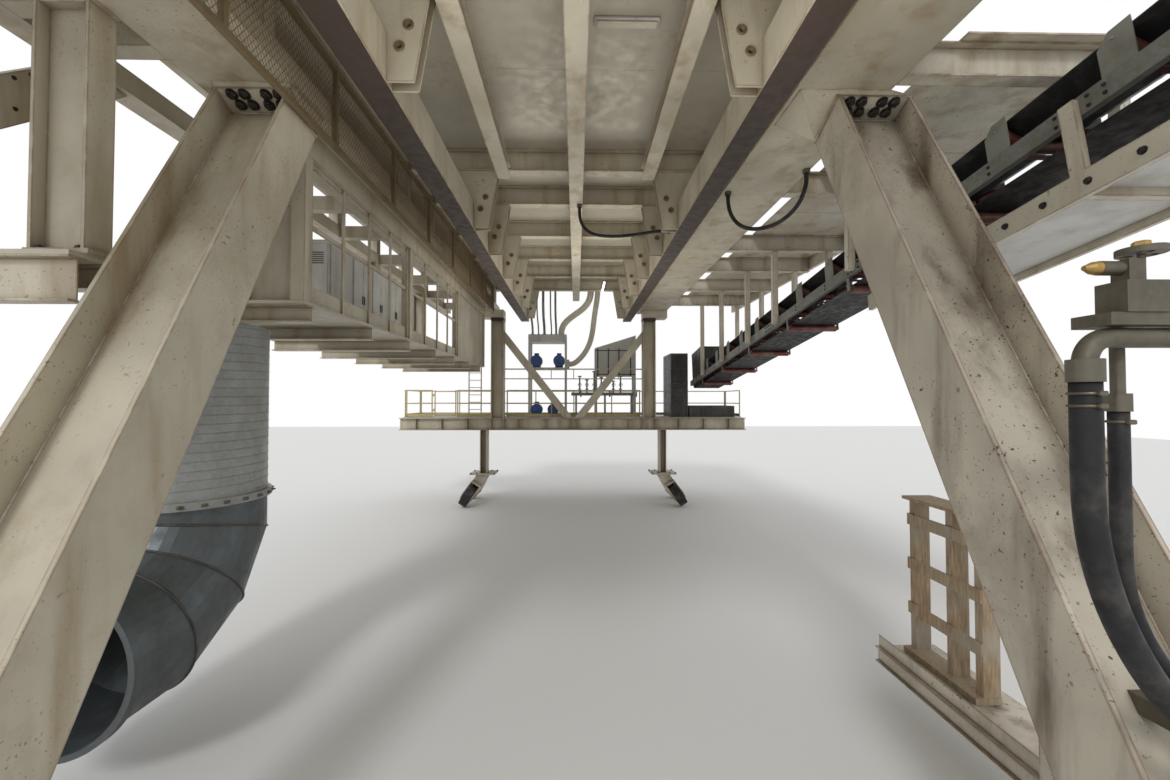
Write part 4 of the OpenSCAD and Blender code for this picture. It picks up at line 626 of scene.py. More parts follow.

# %% [markdown]
# ## Hoses and cables
# A hose is a fixed length of something stiff. It leaves its collar straight, and its own weight and stiffness
# set the curve. A cloth simulation could find that curve, but a few listed points with a smooth curve
# through them are quicker to correct. The Catmull-Rom curve passes through every point and keeps the bend
# even.


# %% Smooth curves and their length
def through(points, steps):
    """Catmull-Rom curve: a cubic between two points, its end slopes half the chord of the neighbours."""
    p = np.asarray(points, float)
    p = np.vstack([2 * p[0] - p[1], p, 2 * p[-1] - p[-2]])
    t = (np.arange(steps) / steps)[None, :, None]
    a, b, c, d = (p[i:len(p) - 3 + i, None] for i in range(4))
    q = 0.5 * (2 * b + (c - a) * t + (2 * a - 5 * b + 4 * c - d) * t**2 + (3 * b - a - 3 * c + d) * t**3)
    return np.vstack([q.reshape(-1, 3), p[-2:-1]])


def line_length(path):
    """The sum of the straight steps of a path."""
    return float(np.linalg.norm(np.diff(path, axis=0), axis=1).sum())


print("curves ready")

# %% [markdown]
# Two heavy hoses hang from the fittings beside the right leg, each in its own upright plane, so their routes
# are given as X and Z. Two cables cross below the deck as loose loops between two glands.

# %% The four cords
THICK_Y, THIN_Y = -8.3, -8.22
THICK = [(2.566, 4.145), (2.566, 3.98), (2.566, 3.815), (2.566, 3.65), (2.574, 3.493), (2.596, 3.338),
         (2.633, 3.185), (2.685, 3.036), (2.751, 2.894), (2.83, 2.758), (2.922, 2.63), (3.026, 2.512),
         (3.14, 2.404), (3.264, 2.308), (3.393, 2.218)]
THIN = [(2.822, 4.001), (2.822, 3.86), (2.822, 3.71), (2.822, 3.56), (2.822, 3.415), (2.822, 3.274),
        (2.83, 3.157), (2.855, 3.042), (2.895, 2.932), (2.95, 2.828), (3.019, 2.733), (3.1, 2.649),
        (3.181, 2.585), (3.275, 2.519), (3.369, 2.453), (3.463, 2.387)]
LOOP_A = [(2.69, -2.7, 7.54), (2.69, -2.7, 7.44), (2.702, -2.71, 7.33), (2.725, -2.73, 7.22),
          (2.765, -2.765, 7.11), (2.825, -2.815, 7.01), (2.905, -2.88, 6.93), (3.0, -2.96, 6.875),
          (3.1, -3.045, 6.85), (3.205, -3.13, 6.85), (3.31, -3.22, 6.875), (3.41, -3.3, 6.935),
          (3.495, -3.375, 7.02), (3.56, -3.43, 7.12), (3.602, -3.465, 7.23), (3.628, -3.49, 7.34),
          (3.64, -3.5, 7.44), (3.64, -3.5, 7.54)]
LOOP_B = [(0.17, -0.9, 8.07), (0.17, -0.9, 7.97), (0.178, -0.905, 7.87), (0.2, -0.912, 7.772),
          (0.24, -0.922, 7.68), (0.3, -0.934, 7.6), (0.378, -0.946, 7.535), (0.47, -0.958, 7.49),
          (0.57, -0.97, 7.462), (0.675, -0.98, 7.445), (0.785, -0.99, 7.436), (0.9, -1.0, 7.432),
          (1.02, -1.01, 7.434), (1.145, -1.02, 7.442), (1.275, -1.03, 7.455), (1.41, -1.04, 7.472),
          (1.55, -1.05, 7.492), (1.69, -1.058, 7.512), (1.83, -1.06, 7.524), (1.96, -1.06, 7.524)]
cords = {
    "hose_thick": ([(x, THICK_Y, z) for x, z in THICK], 0.12, "stiff"),
    "hose_thin": ([(x, THIN_Y, z) for x, z in THIN], 0.08, "stiff"),
    "cable_loop_a": (LOOP_A, 0.064, "medium"),
    "cable_loop_b": (LOOP_B, 0.064, "medium"),
}
for name, (route, diameter, stiffness) in cords.items():
    path = through(route, 2)
    tube = piece(name + "_cover", swept(path, diameter / 2, 24, (0, 1, 0)), hose_black,
                 smooth=True, replaced=(name,))
    print(name, "is", round(line_length(path), 3), "m long")

# %% [markdown]
# ## Woven wire
# The guard beside the left crane runway is woven diamond mesh in a frame of nine bays. A sheet with holes
# would look stamped, and a picture of wire has no thickness, so each wire is its own thin bar that passes
# over one crossing wire and under the next. Two families of parallel lines cross where plain line geometry
# says, so all wires of a bay come from a few array operations.


# %% Where the wires of one family cross the other
def crossings(low, high, angle, pitch):
    """Wire i lies i pitches along its normal n. It meets wire j of the other family, whose normal is m, at
    t = (j pitch - start . m) / (d . m) along its own direction d. Each t is held inside the rectangle."""
    a = radians(angle)
    d, n, m = np.array([cos(a), sin(a)]), np.array([-sin(a), cos(a)]), np.array([sin(a), cos(a)])
    corners = np.array([low, (low[0], high[1]), (high[0], low[1]), high])
    i = np.arange(np.ceil((corners @ n).min() / pitch), (corners @ n).max() / pitch)
    j = np.arange(np.floor((corners @ m).min() / pitch), (corners @ m).max() / pitch + 1)
    if m @ d < 0:
        j = j[::-1]
    start = i[:, None] * pitch * n
    bounds = np.stack([(np.asarray(corner) - start) / d for corner in (low, high)])
    first, last = bounds.min(0).max(1), bounds.max(0).min(1)
    t = (j[None] * pitch - (start @ m)[:, None]) / (m @ d)
    t = np.clip(t, first[:, None], np.maximum(first, last)[:, None])
    over = 1 - 2 * ((i[:, None] + j[None]) % 2)
    return start[:, None] + t[..., None] * d, t, over, n


PITCH, SLOPE = 0.052, 56
print("a square metre takes", len(crossings((0, 0), (1, 1), SLOPE, PITCH)[1]), "wires of one family")


# %% The wires of one family as bars
def wire_family(low, high, angle, pitch, wire, x, sign):
    """A diamond section round each crossing, pushed along X by 0.55 wires to one side and the other in turn,
    and joined to the next where the wire goes on. The faces where a wire starts and stops close it."""
    line, t, over, n = crossings(low, high, angle, pitch)
    section = wire / 2 * np.array([[1, 0], [0, 1], [-1, 0], [0, -1]])
    points = np.empty(t.shape + (4, 3))
    points[..., 0] = x + (sign * wire * 0.55 * over)[..., None] + section[:, 0]
    points[..., 1:] = line[:, :, None] + section[:, 1, None] * n
    sides = grid_faces(t.size, 4).reshape(t.size - 1, 4, 4)
    goes_on = np.append(np.diff(t, axis=1) > 1e-4, np.zeros((len(t), 1), bool), 1).ravel()[:-1]
    before, after = np.append(False, goes_on), np.append(goes_on, False)
    ring = (np.arange(t.size) * 4)[:, None] + np.arange(4)
    starts, stops = ring[after & ~before], ring[before & ~after][:, ::-1]
    faces = np.concatenate([sides[goes_on].reshape(-1, 4), starts, stops])
    kept, index = np.unique(faces, return_inverse=True)
    return points.reshape(-1, 3)[kept], index.reshape(-1, 4)


print("wires can be woven")

# %% The nine bays of the guard
BAYS = 9
WIRE = 0.0068
BAR_WIDTH, BAR_HEIGHT = 0.024, 0.054

guard_low, guard_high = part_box("mesh_guard_frame")
guard_middle = (guard_low[0] + guard_high[0]) / 2
bay = (guard_high[1] - guard_low[1]) / BAYS
wires = []
for i in range(BAYS):
    corner = (guard_low[1] + i * bay + BAR_WIDTH, guard_low[2] + BAR_HEIGHT)
    far = (corner[0] + bay - 2 * BAR_WIDTH, guard_high[2] - BAR_HEIGHT)
    for angle, sign in ((SLOPE, 1), (-SLOPE, -1)):
        wires.append(wire_family(corner, far, angle, PITCH, WIRE, guard_middle, sign))
piece("woven_guard", join(wires), wire_steel, replaced=("mesh_guard_panels",))

# %% [markdown]
# ## Bolts
# Heavy site joints are bolted, because the gantry is brought underground in parts. A bolt could be one
# cylinder, but at this size its chamfered hexagon, washer and thread end all show. Three turned profiles give
# them, with six, sixteen and ten sides, and the whole bolt is one form of a few dozen faces that is placed
# hundreds of times.


# %% One bolt
def bolt(across, height):
    """Hexagon head, washer and thread end about Z on z = 0; across is the width over the head's corners."""
    r, h = across / 2, height
    head = lathe([(0, h), (0.82 * r, h), (r, 0.84 * h), (r, 0.16 * h), (r, 0.0)], 6)
    washer = lathe([(0, 0.18 * h), (1.14 * r, 0.18 * h), (1.2 * r, 0.1 * h), (1.2 * r, -0.001)], 16)
    end = lathe([(0, 1.3 * h), (0.42 * r, 1.3 * h), (0.5 * r, 1.2 * h), (0.5 * r, 0.9 * h)], 10)
    return join([flipped(form) for form in (head, washer, end)])


big, middle, small = bolt(0.105, 0.045), bolt(0.06, 0.026), bolt(0.034, 0.015)
print("one bolt has", len(big[1]), "faces")

# %% [markdown]
# Each rear leg leans forward and meets its head plate with sixteen of the largest bolts, eight on either side
# of the web. They are placed as if the leg stood upright with its head at the origin, and then raked with it.


# %% Bolts of the leg heads
RAKE = 26.5
LEG_HEAD = np.array([3.525, -5.05, 7.43])
leg_turn = about_x(-RAKE)


def on_leg(points, side):
    """Points drawn about an upright leg's head, raked and moved to the left (-1) or right (1) head."""
    return (np.asarray(points, float) @ leg_turn.T + LEG_HEAD) * np.array([side, 1, 1])


HEAD_X = [-0.275, -0.135, 0.105, 0.245]
HEAD_Y = [-0.235, -0.115, 0.115, 0.235]
UNDER_PLATE, STAGGER = -0.0405, 0.03
rows = grid(HEAD_X, HEAD_Y, [UNDER_PLATE])
inner = np.abs(rows[:, 1:2]) < 0.2
outward = np.sign(rows[:, :1] + 0.01)
rows = rows - np.where(inner, STAGGER, 0.0) * np.array([[1, 0, 0]]) * outward
head_bolts = [facing(big, on_leg(rows, side), leg_turn @ DOWN) for side in (-1, 1)]
piece("leg_head_bolts", join(head_bolts), bolts_dark)

# %% [markdown]
# The feet stand on bolted plates, and the portal posts and the conveyor arms hang on bolted end plates. A
# designer spaces bolts in rows, so each joint is a grid of coordinates in the face of its plate, with one
# direction.

# %% Bolts of feet, posts and arms
FOOT_Y = {"rear": -8.181, "front": 8.0}
FOOT_TOP, FOOT_REACH = 1.2, 0.38
girder_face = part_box("girder_right")[1][0]
ARM_Y = [-5.5, -2.6, 0.45, 2.2, 4.5, 6.8]
PLATE = 0.022

sets = []
for side in (-1, 1):
    for y in FOOT_Y.values():
        feet_x = [side * x for x in (3.07, 3.3, 3.75, 3.98)]
        sets.append(facing(middle, grid(feet_x, [y - FOOT_REACH, y + FOOT_REACH], [FOOT_TOP]), UP))
    post_x = [side * 3.0 - 0.17, side * 3.0 + 0.17]
    sets.append(facing(middle, grid(post_x, [7.86, 8.14], [7.262]), DOWN))
plates = [chamfered((girder_face, y - 0.15, 7.62), (girder_face + PLATE, y + 0.15, 8.1), 0.008)
          for y in ARM_Y]
plates.append(chamfered((girder_face, -8.65, 8.3), (girder_face + PLATE, -8.35, 8.77), 0.008))
for y in ARM_Y:
    places = grid([girder_face + PLATE], [y - 0.12, y + 0.12], [7.68, 7.8, 7.92, 8.04])
    sets.append(facing(middle, places, RIGHT))
places = grid([girder_face + PLATE], [-8.62, -8.38], [8.36, 8.48, 8.6, 8.71])
sets.append(facing(middle, places, RIGHT))
print("bolt groups so far:", len(sets))

# %% [markdown]
# On the left, a heavy column and a knee brace carry the gallery's corner, and splice plates join the lengths
# of the open girder. The brace climbs at 42.6 degrees, so its bolts are spaced along a level line and then
# turned.

# %% Bolts of the column, the knee brace and the splices
KNEE_RISE, KNEE_FOOT = 42.6, np.array([0.0, -6.3, 6.5])
SPLICE, SPLICE_Y = 0.016, (-7.9, 0.1, 5.6)
girder_left_faces = ((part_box("girder_left")[1][0], RIGHT, 1), (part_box("girder_left")[0][0], LEFT, -1))

sets.append(facing(middle, grid([-4.62, -4.28], [-6.352, -6.17], [5.39]), UP))
along = np.array([[0, t, s] for t in (0.32, 0.50, 0.68) for s in (0.08, 0.30)]) @ about_x(KNEE_RISE).T
for x, turn in ((-5.14, RIGHT), (-5.26, LEFT)):
    sets.append(facing(small, along + KNEE_FOOT + np.array([x, 0, 0]), turn))
splices = []
for face, turn, out in girder_left_faces:
    outer = face + out * SPLICE
    for y in SPLICE_Y:
        low, high = (min(face, outer), y - 0.36, 7.63), (max(face, outer), y + 0.36, 7.82)
        splices.append(chamfered(low, high, 0.006))
        row = y + np.array([-0.3, -0.2, -0.1, 0.1, 0.2, 0.3])
        sets.append(facing(small, grid([outer], row, [7.675, 7.775]), turn))
piece("frame_bolts", join(sets), bolts_dark)
piece("end_plates", join(plates + splices), cream)

# %% [markdown]
# ## Weld beads
# A fillet weld runs wherever two plates meet, and its small wavy highlight makes steelwork read as welded. A
# bump line would vanish at a grazing angle, so each bead is a thin bar, half sunk in the corner, whose radius
# swells and shrinks along its length as the welder's hand moves.


# %% Weld beads on legs and runways
def bead(start, end, radius, across):
    """A rippled bar of six sides: radius times (1 + 0.16 sin 2.1 k) at the k-th step of a straight line."""
    start, end = np.asarray(start, float), np.asarray(end, float)
    count = max(4, int(np.linalg.norm(end - start) / 0.045))
    t = np.linspace(0, 1, count)[:, None]
    ripple = radius * (1 + 0.16 * np.sin(np.arange(count) * 2.1))
    return swept(start + (end - start) * t, ripple[:, None, None], 6, across)


beads = []
for side in (-1, 1):
    for x in (-0.385, 0.385):
        for y in (-0.015, 0.015):
            beads.append(bead(*on_leg([(x, y, -0.05), (x, y, -6.9)], side), 0.011, (1, 0.2, 0)))
    for y in (-0.017, 0.017):
        beads.append(bead(*on_leg([(-0.38, y, -0.043), (0.38, y, -0.043)], side), 0.012, (0, 1, 0.2)))
for x in (-2.14, -1.82, 2.02, 2.34):
    beads.append(bead((x, -10.2, 7.285), (x, 8.4, 7.285), 0.007, (1, 0, 0.1)))
piece("weld_beads", join(beads), dusty, smooth=True)

# %% [markdown]
# ## Sling eyes
# The hanger plates of the crane runways have two rope holes each, with a worn doubling ring round the hole so
# that a sling can't saw through the plate. A ring is a turned profile without a middle, one form for all of
# them.

# %% Doubling rings
CROSS_Y = [-10.1, -8.0, -5.75, -1.75, -0.25, 1.75, 3.75, 5.75, 7.75]
ring_form = flipped(lathe([(0.031, 0), (0.031, 0.012), (0.048, 0.014), (0.056, 0.008), (0.056, 0)], 20))
hole_places = []
for y in CROSS_Y:
    for x, inward in ((-1.98, 1), (2.18, -1)):
        hole_places += [(x + inward * 0.29, y - 0.09, 7.64), (x + inward * 0.38, y - 0.09, 7.862)]
piece("sling_eyes", facing(ring_form, hole_places, BACK), wire_steel)

# %% [markdown]
# ## Lamp housings
# Flat bulkhead lamps sit between the deck's stringers, and each tube lamp of the gallery has a folded sheet
# housing with two end caps. Without a housing a glowing bar seems to float, so the housings matter more than
# the tubes.

# %% Bulkhead lamps and tube housings
deck_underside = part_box("deck_panels")[0][2]
case_low, case_high = deck_underside - 0.045, deck_underside - 0.001
bulkheads, diffusers = [], []
for x, y in ((0.32, -4.84), (0.32, -9.1), (0.32, 2.7), (-1.0, 4.8)):
    bulkheads.append(chamfered((x, y - 0.07, case_low), (x + 0.82, y + 0.07, case_high), 0.012))
    diffusers.append(chamfered((x + 0.03, y - 0.05, 8.705), (x + 0.79, y + 0.05, 8.736), 0.01))
for y in [-4.1 + 1.4 * i for i in range(8)]:
    bulkheads.append(chamfered((-3.6, y - 0.04, 7.341), (-3.541, y + 1.28, 7.372), 0.006))
    for cap in (y - 0.03, y + 1.235):
        bulkheads.append(chamfered((-3.594, cap, 7.276), (-3.5415, cap + 0.035, 7.345), 0.006))
piece("lamp_housings", join(bulkheads), tank_paint)
piece("bulkhead_diffusers", join(diffusers), duct_cream)

# %% [markdown]
# ## The air duct
# Spiral duct is rolled from strip, and its lock seam climbs round it as a thin rib. The elbow is made of
# mitred gores whose joints are sealed with dark bands. Both could be drawn by eye, but both are curves that
# are known exactly: a helix, and an ellipse in each mitre plane.

# %% Lock seam
DUCT = np.array([-5.13, -4.0, 2.7])
DUCT_R, BEND_R, STRIP = 0.825, 1.35, 0.115

seam_z = np.arange(2.84, 5.06, STRIP / 64)
turn = (seam_z - 2.84) / STRIP * 2 * pi
helix = np.stack([DUCT[0] + DUCT_R * np.cos(turn), DUCT[1] + DUCT_R * np.sin(turn), seam_z], -1)
piece("lock_seam", swept(helix, 0.0065, 5, (0, 0, 1)), duct_zinc, smooth=True)

# %% [markdown]
# A mitre plane cuts a tube of radius r in an ellipse. Its long half is r / cos 15 degrees, because each gore
# turns the duct by 30 degrees and the plane stands halfway. The clamps of the flange are blocks with a bolt,
# set round it.

# %% Gore bands and flange clamps
HALF_GORE = 15
band_r, half = DUCT_R + 0.003, radians(HALF_GORE)
a = np.arange(96) * 2 * pi / 96
bands = []
for mitre in (15, 45, 75):
    c, s = cos(radians(mitre)), sin(radians(mitre))
    out = (band_r * np.cos(a) + BEND_R) / cos(half)
    ellipse = np.stack([band_r * np.sin(a), -BEND_R + out * c, -out * s], -1)
    bands.append(closed_tube(ellipse + DUCT, 0.015, 8, (0, s, c)))
piece("gore_bands", join(bands), black_enamel, smooth=True)

around = radians(15) * np.arange(24)
clamp = join([chamfered((-0.035, -0.02, 0), (0.035, 0.02, 0.022), 0.006), bolt(0.03, 0.04)])
turns = np.stack([np.array([[-sin(a), 0, cos(a)], [cos(a), 0, sin(a)], [0, 1, 0]]) for a in around])
places = np.stack([DUCT[0] + 0.875 * np.cos(around), DUCT[1] + 0.875 * np.sin(around), np.full(24, 2.75)], -1)
piece("flange_clamps", copies(clamp, places, turns), fitting_steel)

# %% [markdown]
# ## Wheels
# Each wheel is a solid rubber tyre pressed on a steel centre, canted by 33 degrees because the gantry rolls
# on a round surface. Tread could be bump, but its slots show at the tyre's outline, so the radius itself
# drops there: at two rings, and at slots across the shoulders.


# %% The tyre and the centre
def tyre_form():
    """Radius = profile radius, times 0.391 / 0.4 in two of every eight steps round the shoulders, and all of
    it times 0.996, so that the tread just clears the ground."""
    profile = [(0.33, 0.03), (0.325, -0.03), (0.332, -0.15), (0.376, -0.15), (0.394, -0.142), (0.4, -0.126),
               (0.4, -0.07), (0.389, -0.066), (0.389, -0.054), (0.4, -0.05), (0.4, 0.05), (0.389, 0.054),
               (0.389, 0.066), (0.4, 0.07), (0.4, 0.126), (0.394, 0.142), (0.376, 0.15), (0.332, 0.15),
               (0.33, 0.03)]
    points, faces = lathe(profile, 192)
    ring = points.reshape(len(profile), 192, 3)
    slot = (np.arange(192) % 8 < 2)[None] & (np.hypot(ring[..., 0], ring[..., 1]) > 0.39)
    slot &= np.abs(ring[..., 2]) > 0.06
    ring[..., :2] *= np.where(slot, 0.391 / 0.4, 1.0)[..., None]
    return 0.996 * ring.reshape(-1, 3), faces


def centre_form():
    """A dished web and hub turned about the axle, with eight nuts on a circle of 0.14 m."""
    web = lathe([(0.0, -0.165), (0.06, -0.165), (0.075, -0.15), (0.08, -0.04), (0.2, -0.028), (0.29, -0.034),
                 (0.325, -0.06), (0.331, -0.146), (0.331, 0.146), (0.325, 0.06), (0.29, 0.034), (0.2, 0.028),
                 (0.08, 0.04), (0.075, 0.15), (0.06, 0.165), (0.0, 0.165)], 64)
    a = np.arange(8) * pi / 4
    places = np.stack([0.14 * np.cos(a), 0.14 * np.sin(a), np.full(8, 0.032)], -1)
    return join([web, facing(bolt(0.036, 0.02), places, UP)])


tyre, centre = tyre_form(), centre_form()
print("tyre:", len(tyre[1]), "faces, centre:", len(centre[1]), "faces")

# %% [markdown]
# Every wheel turns on a body of its own, so its tyre and centre ride on that body and turn with its joint.
# The left wheels are the right ones mirrored in X. A mirror turns faces inside out, so their faces are
# flipped back.

# %% Eight wheels on their bodies
CANT, HUB_X, HUB_Z, WHEEL_STEP = 33, 4.008, 0.4063, 0.75
axle_turn = about_y(90 - CANT)
wheel_bodies = [(end, side, letter)
                for end in ("rear", "front") for side in ("left", "right") for letter in "ab"]
for number, (end, side, letter) in enumerate(wheel_bodies, 1):
    hub = np.array([HUB_X, FOOT_Y[end] + (-WHEEL_STEP if letter == "a" else WHEEL_STEP), HUB_Z])
    for label, form, slot, finish in (("tyre", tyre, "tyre", tyre_black),
                                      ("wheel_centre", centre, "cream_paint", dusty)):
        placed = (form[0] @ axle_turn.T + hub, form[1])
        if side == "left":
            placed = flipped((placed[0] * np.array([-1, 1, 1]), placed[1]))
        piece(f"{label}_{number}", placed, finish, body=f"wheel_{end}_{side}_{letter}",
              replaced=(f"wheel_{number}",))

# %% [markdown]
# ## Cabinets
# A cabinet is told by its doors, louvres and handles. They could be bump lines, but door gaps and louvres
# throw shadows of their own, so each door is a thin slab with a broken rim, and each louvre slot is a black
# blade just proud of it, painted shade standing for the dark inside of the slot. The handles of two
# neighbouring doors meet in the middle, as on real double doors.

# %% Cabinet doors, louvres and handles
CABINETS, CABINET_STEP, FIRST_Y = 5, 0.9, -1.8
DOOR_LOW, DOOR_HIGH = 5.42, 6.98

doors, louvre_shade_and_handles = [], []
for i in range(CABINETS):
    start = FIRST_Y + CABINET_STEP * i
    for y, handle in ((start + 0.02, start + 0.39), (start + 0.445, start + 0.475)):
        doors.append(chamfered((-4.501, y, DOOR_LOW), (-4.483, y + 0.415, DOOR_HIGH), 0.006))
        # painted shade: each louvre slot is a black blade just proud of the door, standing for the dark
        # inside of the slot
        for z in (5.62, 5.655, 5.69, 5.725, 5.76):
            louvre_shade_and_handles.append(chamfered((-4.484, y + 0.08, z), (-4.478, y + 0.335, z + 0.016), 0.002))
        louvre_shade_and_handles.append(chamfered((-4.484, handle, 6.1), (-4.462, handle + 0.02, 6.28), 0.005))
    doors.append(chamfered((-5.03, start + 0.02, 7.04), (-4.52, start + 0.86, 7.062), 0.008))
doors.append(chamfered((-5.02, FIRST_Y - 0.012, DOOR_LOW), (-4.53, FIRST_Y + 0.001, DOOR_HIGH), 0.006))
# painted shade: the louvre slots of the end panel are black blades standing for the dark inside of each slot
for z in (6.6, 6.64, 6.68, 6.72, 6.76, 6.8):
    louvre_shade_and_handles.append(chamfered((-4.95, FIRST_Y - 0.018, z), (-4.6, FIRST_Y - 0.011, z + 0.018), 0.002))
piece("cabinet_doors", join(doors), tank_paint)
piece("cabinet_handles_and_louvre_shade", join(louvre_shade_and_handles), black_enamel)

# %% [markdown]
# ## Motors and tank
# An electric motor is told by its cooling fins and the grooved cowl over its fan. Fins are cast in one piece
# with the barrel; here they are plain blades turned round it, which gives the same shadows. They are left out
# at the top and the bottom, where the terminal box and the feet are. One motor is drawn and placed four
# times.

# %% Motor fins and cowls
MOTORS = [(-1.56, 3.65), (-0.86, 3.65), (-1.57, 5.70), (-0.62, 5.70)]
MOTOR_Y = 8.96

fin = blade((0.222, 0.06, -0.003), (0.247, 0.50, 0.003))
fin_angles = [a for a in range(0, 360, 12) if not 60 < a < 120 and not 240 < a < 300]
fins = copies(fin, np.zeros((len(fin_angles), 3)), np.stack([about_y(-a) for a in fin_angles]))
cowl = flipped(lathe([(0.0, 0), (0.05, 0), (0.055, 0.006), (0.09, 0.006), (0.095, 0), (0.13, 0),
                      (0.135, 0.006), (0.17, 0.006), (0.175, 0), (0.225, 0), (0.238, 0.012), (0.238, 0.1),
                      (0.232, 0.1)], 40))
terminal_lid = chamfered((-0.1, 0.16, 0.3), (0.1, 0.38, 0.33), 0.01)
motor = join([fins, facing(cowl, [(0, -0.03, 0)], FRONT), terminal_lid])
piece("motor_fins", copies(motor, [(x, MOTOR_Y, z) for x, z in MOTORS]), blue)

# %% Tank straps
straps = [chamfered((x, 9.235, 5.07), (x + 0.05, 9.25, 6.25), 0.005) for x in (1.0, 1.45, 1.9, 2.4)]
straps += [chamfered((0.93, 9.238, z), (2.62, 9.25, z + 0.04), 0.004) for z in (5.12, 6.14)]
piece("tank_straps", join(straps), black_enamel)

# %% [markdown]
# ## Pipes
# Five thin pipes drop from the deck behind the portal, and a header pipe on the platform feeds six risers
# with a handwheel each. A pipe could be made of straight pieces with modelled elbows, but a bender leaves
# smooth corners, so each is swept along a Catmull-Rom curve. Flanges are short turned rings, which also cover
# where two pipes meet.


# %% Pipes, flanges and hoops
def pipe(route, radius, across=(1, 0, 0)):
    """A pipe of fourteen sides whose corners are rounded by a Catmull-Rom curve through its route."""
    return swept(through(route, 5), radius, 14, across)


def collar(place, turn, radius, width=0.03):
    """A flange: a turned ring 1.8 times as wide as the pipe and two widths thick, about the pipe's line."""
    face, rim = 1.7 * radius, 1.8 * radius
    form = lathe([(0, -width), (face, -width), (rim, -0.8 * width), (rim, 0.8 * width), (face, width),
                  (0, width)], 20)
    return facing(form, [place], turn)


def hoop(middle, radius, bar, steps, across, sides=6):
    """A round bar bent to a circle about Y or Z: point = middle + r (cos a X + sin a third axis)."""
    a = np.arange(steps)[:, None] * 2 * pi / steps
    third = np.array([0, across[2], across[1]])
    loop = np.asarray(middle) + radius * (np.cos(a) * np.array([1, 0, 0]) + np.sin(a) * third)
    return closed_tube(loop, bar, sides, across)


print("pipes, flanges and hoops ready")

# %% The rack's pipes
DROPS = [(-1.75, 0.045), (-1.5, 0.03), (-1.25, 0.055), (-0.95, 0.03), (-0.75, 0.045)]
HEADER_Y, HEADER_Z, HEADER_R = 8.8, 4.3, 0.07
RISERS = [(0.25, 5.05), (0.55, 4.9), (0.85, 5.25), (1.15, 5.0), (1.65, 4.85), (1.95, 5.05)]
VALVE_Z, HANDWHEEL_Y, HANDWHEEL_R = 4.68, 8.66, 0.07
platform_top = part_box("platform_floor")[1][2]

lines = []
for i, (x, r) in enumerate(DROPS):
    y = 8.42 + 0.02 * (i % 3)
    lines.append(pipe([(x, y, 8.78), (x, y, 8.3), (x, y + 0.02, 7.9), (x, y + 0.2, 7.5), (x, 9.1, 7.2),
                       (x, 9.25, 6.98), (x, 9.25, 6.8)], r))
    lines.append(collar((x, 9.25, 6.83), UP, r))
lines.append(pipe([(x, HEADER_Y, HEADER_Z) for x in (-0.1, 0.5, 1.5, 2.5)], HEADER_R, (0, 0, 1)))
for x in (0.1, 1.3, 2.4):
    low, high = (x - 0.04, HEADER_Y - 0.04, platform_top), (x + 0.04, HEADER_Y + 0.04, 4.24)
    lines.append(chamfered(low, high, 0.01))
    lines.append(collar((x + 0.2, HEADER_Y, HEADER_Z), RIGHT, HEADER_R))
for x, top in RISERS:
    lines.append(pipe([(x, HEADER_Y, z) for z in (HEADER_Z, 4.55, top - 0.1, top)], 0.034))
    lines.append(collar((x, HEADER_Y, 4.5), UP, 0.04, 0.02))
    lines.append(collar((x, HEADER_Y, top - 0.02), UP, 0.045, 0.022))
    lines.append(pipe([(x, y, VALVE_Z) for y in (8.79, 8.74, HANDWHEEL_Y)], 0.012))
    lines.append(hoop((x, HANDWHEEL_Y, VALVE_Z), HANDWHEEL_R, 0.009, 20, (0, 1, 0)))
    lines.append(chamfered((x - HANDWHEEL_R, HANDWHEEL_Y - 0.004, VALVE_Z - 0.007),
                           (x + HANDWHEEL_R, HANDWHEEL_Y + 0.004, VALVE_Z + 0.007), 0.003))
piece("rack_pipes", join(lines), zinc)

# %% Conduits along the right girder
RUNS = [(8.10, 0.05), (8.24, 0.035), (8.02, 0.022)]
run_x = girder_face + 0.075

runs = [swept([(run_x, y, z) for y in (-10.1, -5.0, 0.0, 4.0, 8.5)], r, 14, (0, 0, 1)) for z, r in RUNS]
for y in np.arange(-9.6, 8.4, 1.5):
    runs.append(chamfered((girder_face, y - 0.02, 7.99), (girder_face + 0.035, y + 0.02, 8.3), 0.004))
    runs += [hoop((run_x, y, z), r + 0.004, 0.008, 16, (0, 1, 0)) for z, r in RUNS]
piece("girder_pipes", join(runs), zinc)

# %% [markdown]
# ## Stiffeners and ribs
# A thin web buckles unless short plates brace it, so the platform's first beam has stiffeners on both sides
# of its web, and the sheets of the conveyor's tail casing have folded ribs. A large plain face also hides its
# own size, and such ribs give it a scale. A light rail closes the portal above the platform.

# %% Stiffeners and the tie rail
PORTAL_Y, RAIL_Y, FLANGE, WEB_HALF, OUTER = 8.0, 8.17, 0.025, 0.008, 0.149
NEAR_X = (-6.2, -5.2, -4.2, -3.25, -2.75, -2.2, -1.1, -0.15, 0.15, 1.1, 2.2, 2.75, 3.25, 4.2, 5.2, 6.2)
FAR_X = (-5.2, -3.25, -2.75, -1.1, 1.1, 2.75, 3.25, 5.2)
beams_low, beams_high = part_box("platform_beams")
web_low, web_high = beams_low[2] + FLANGE, beams_high[2] - FLANGE

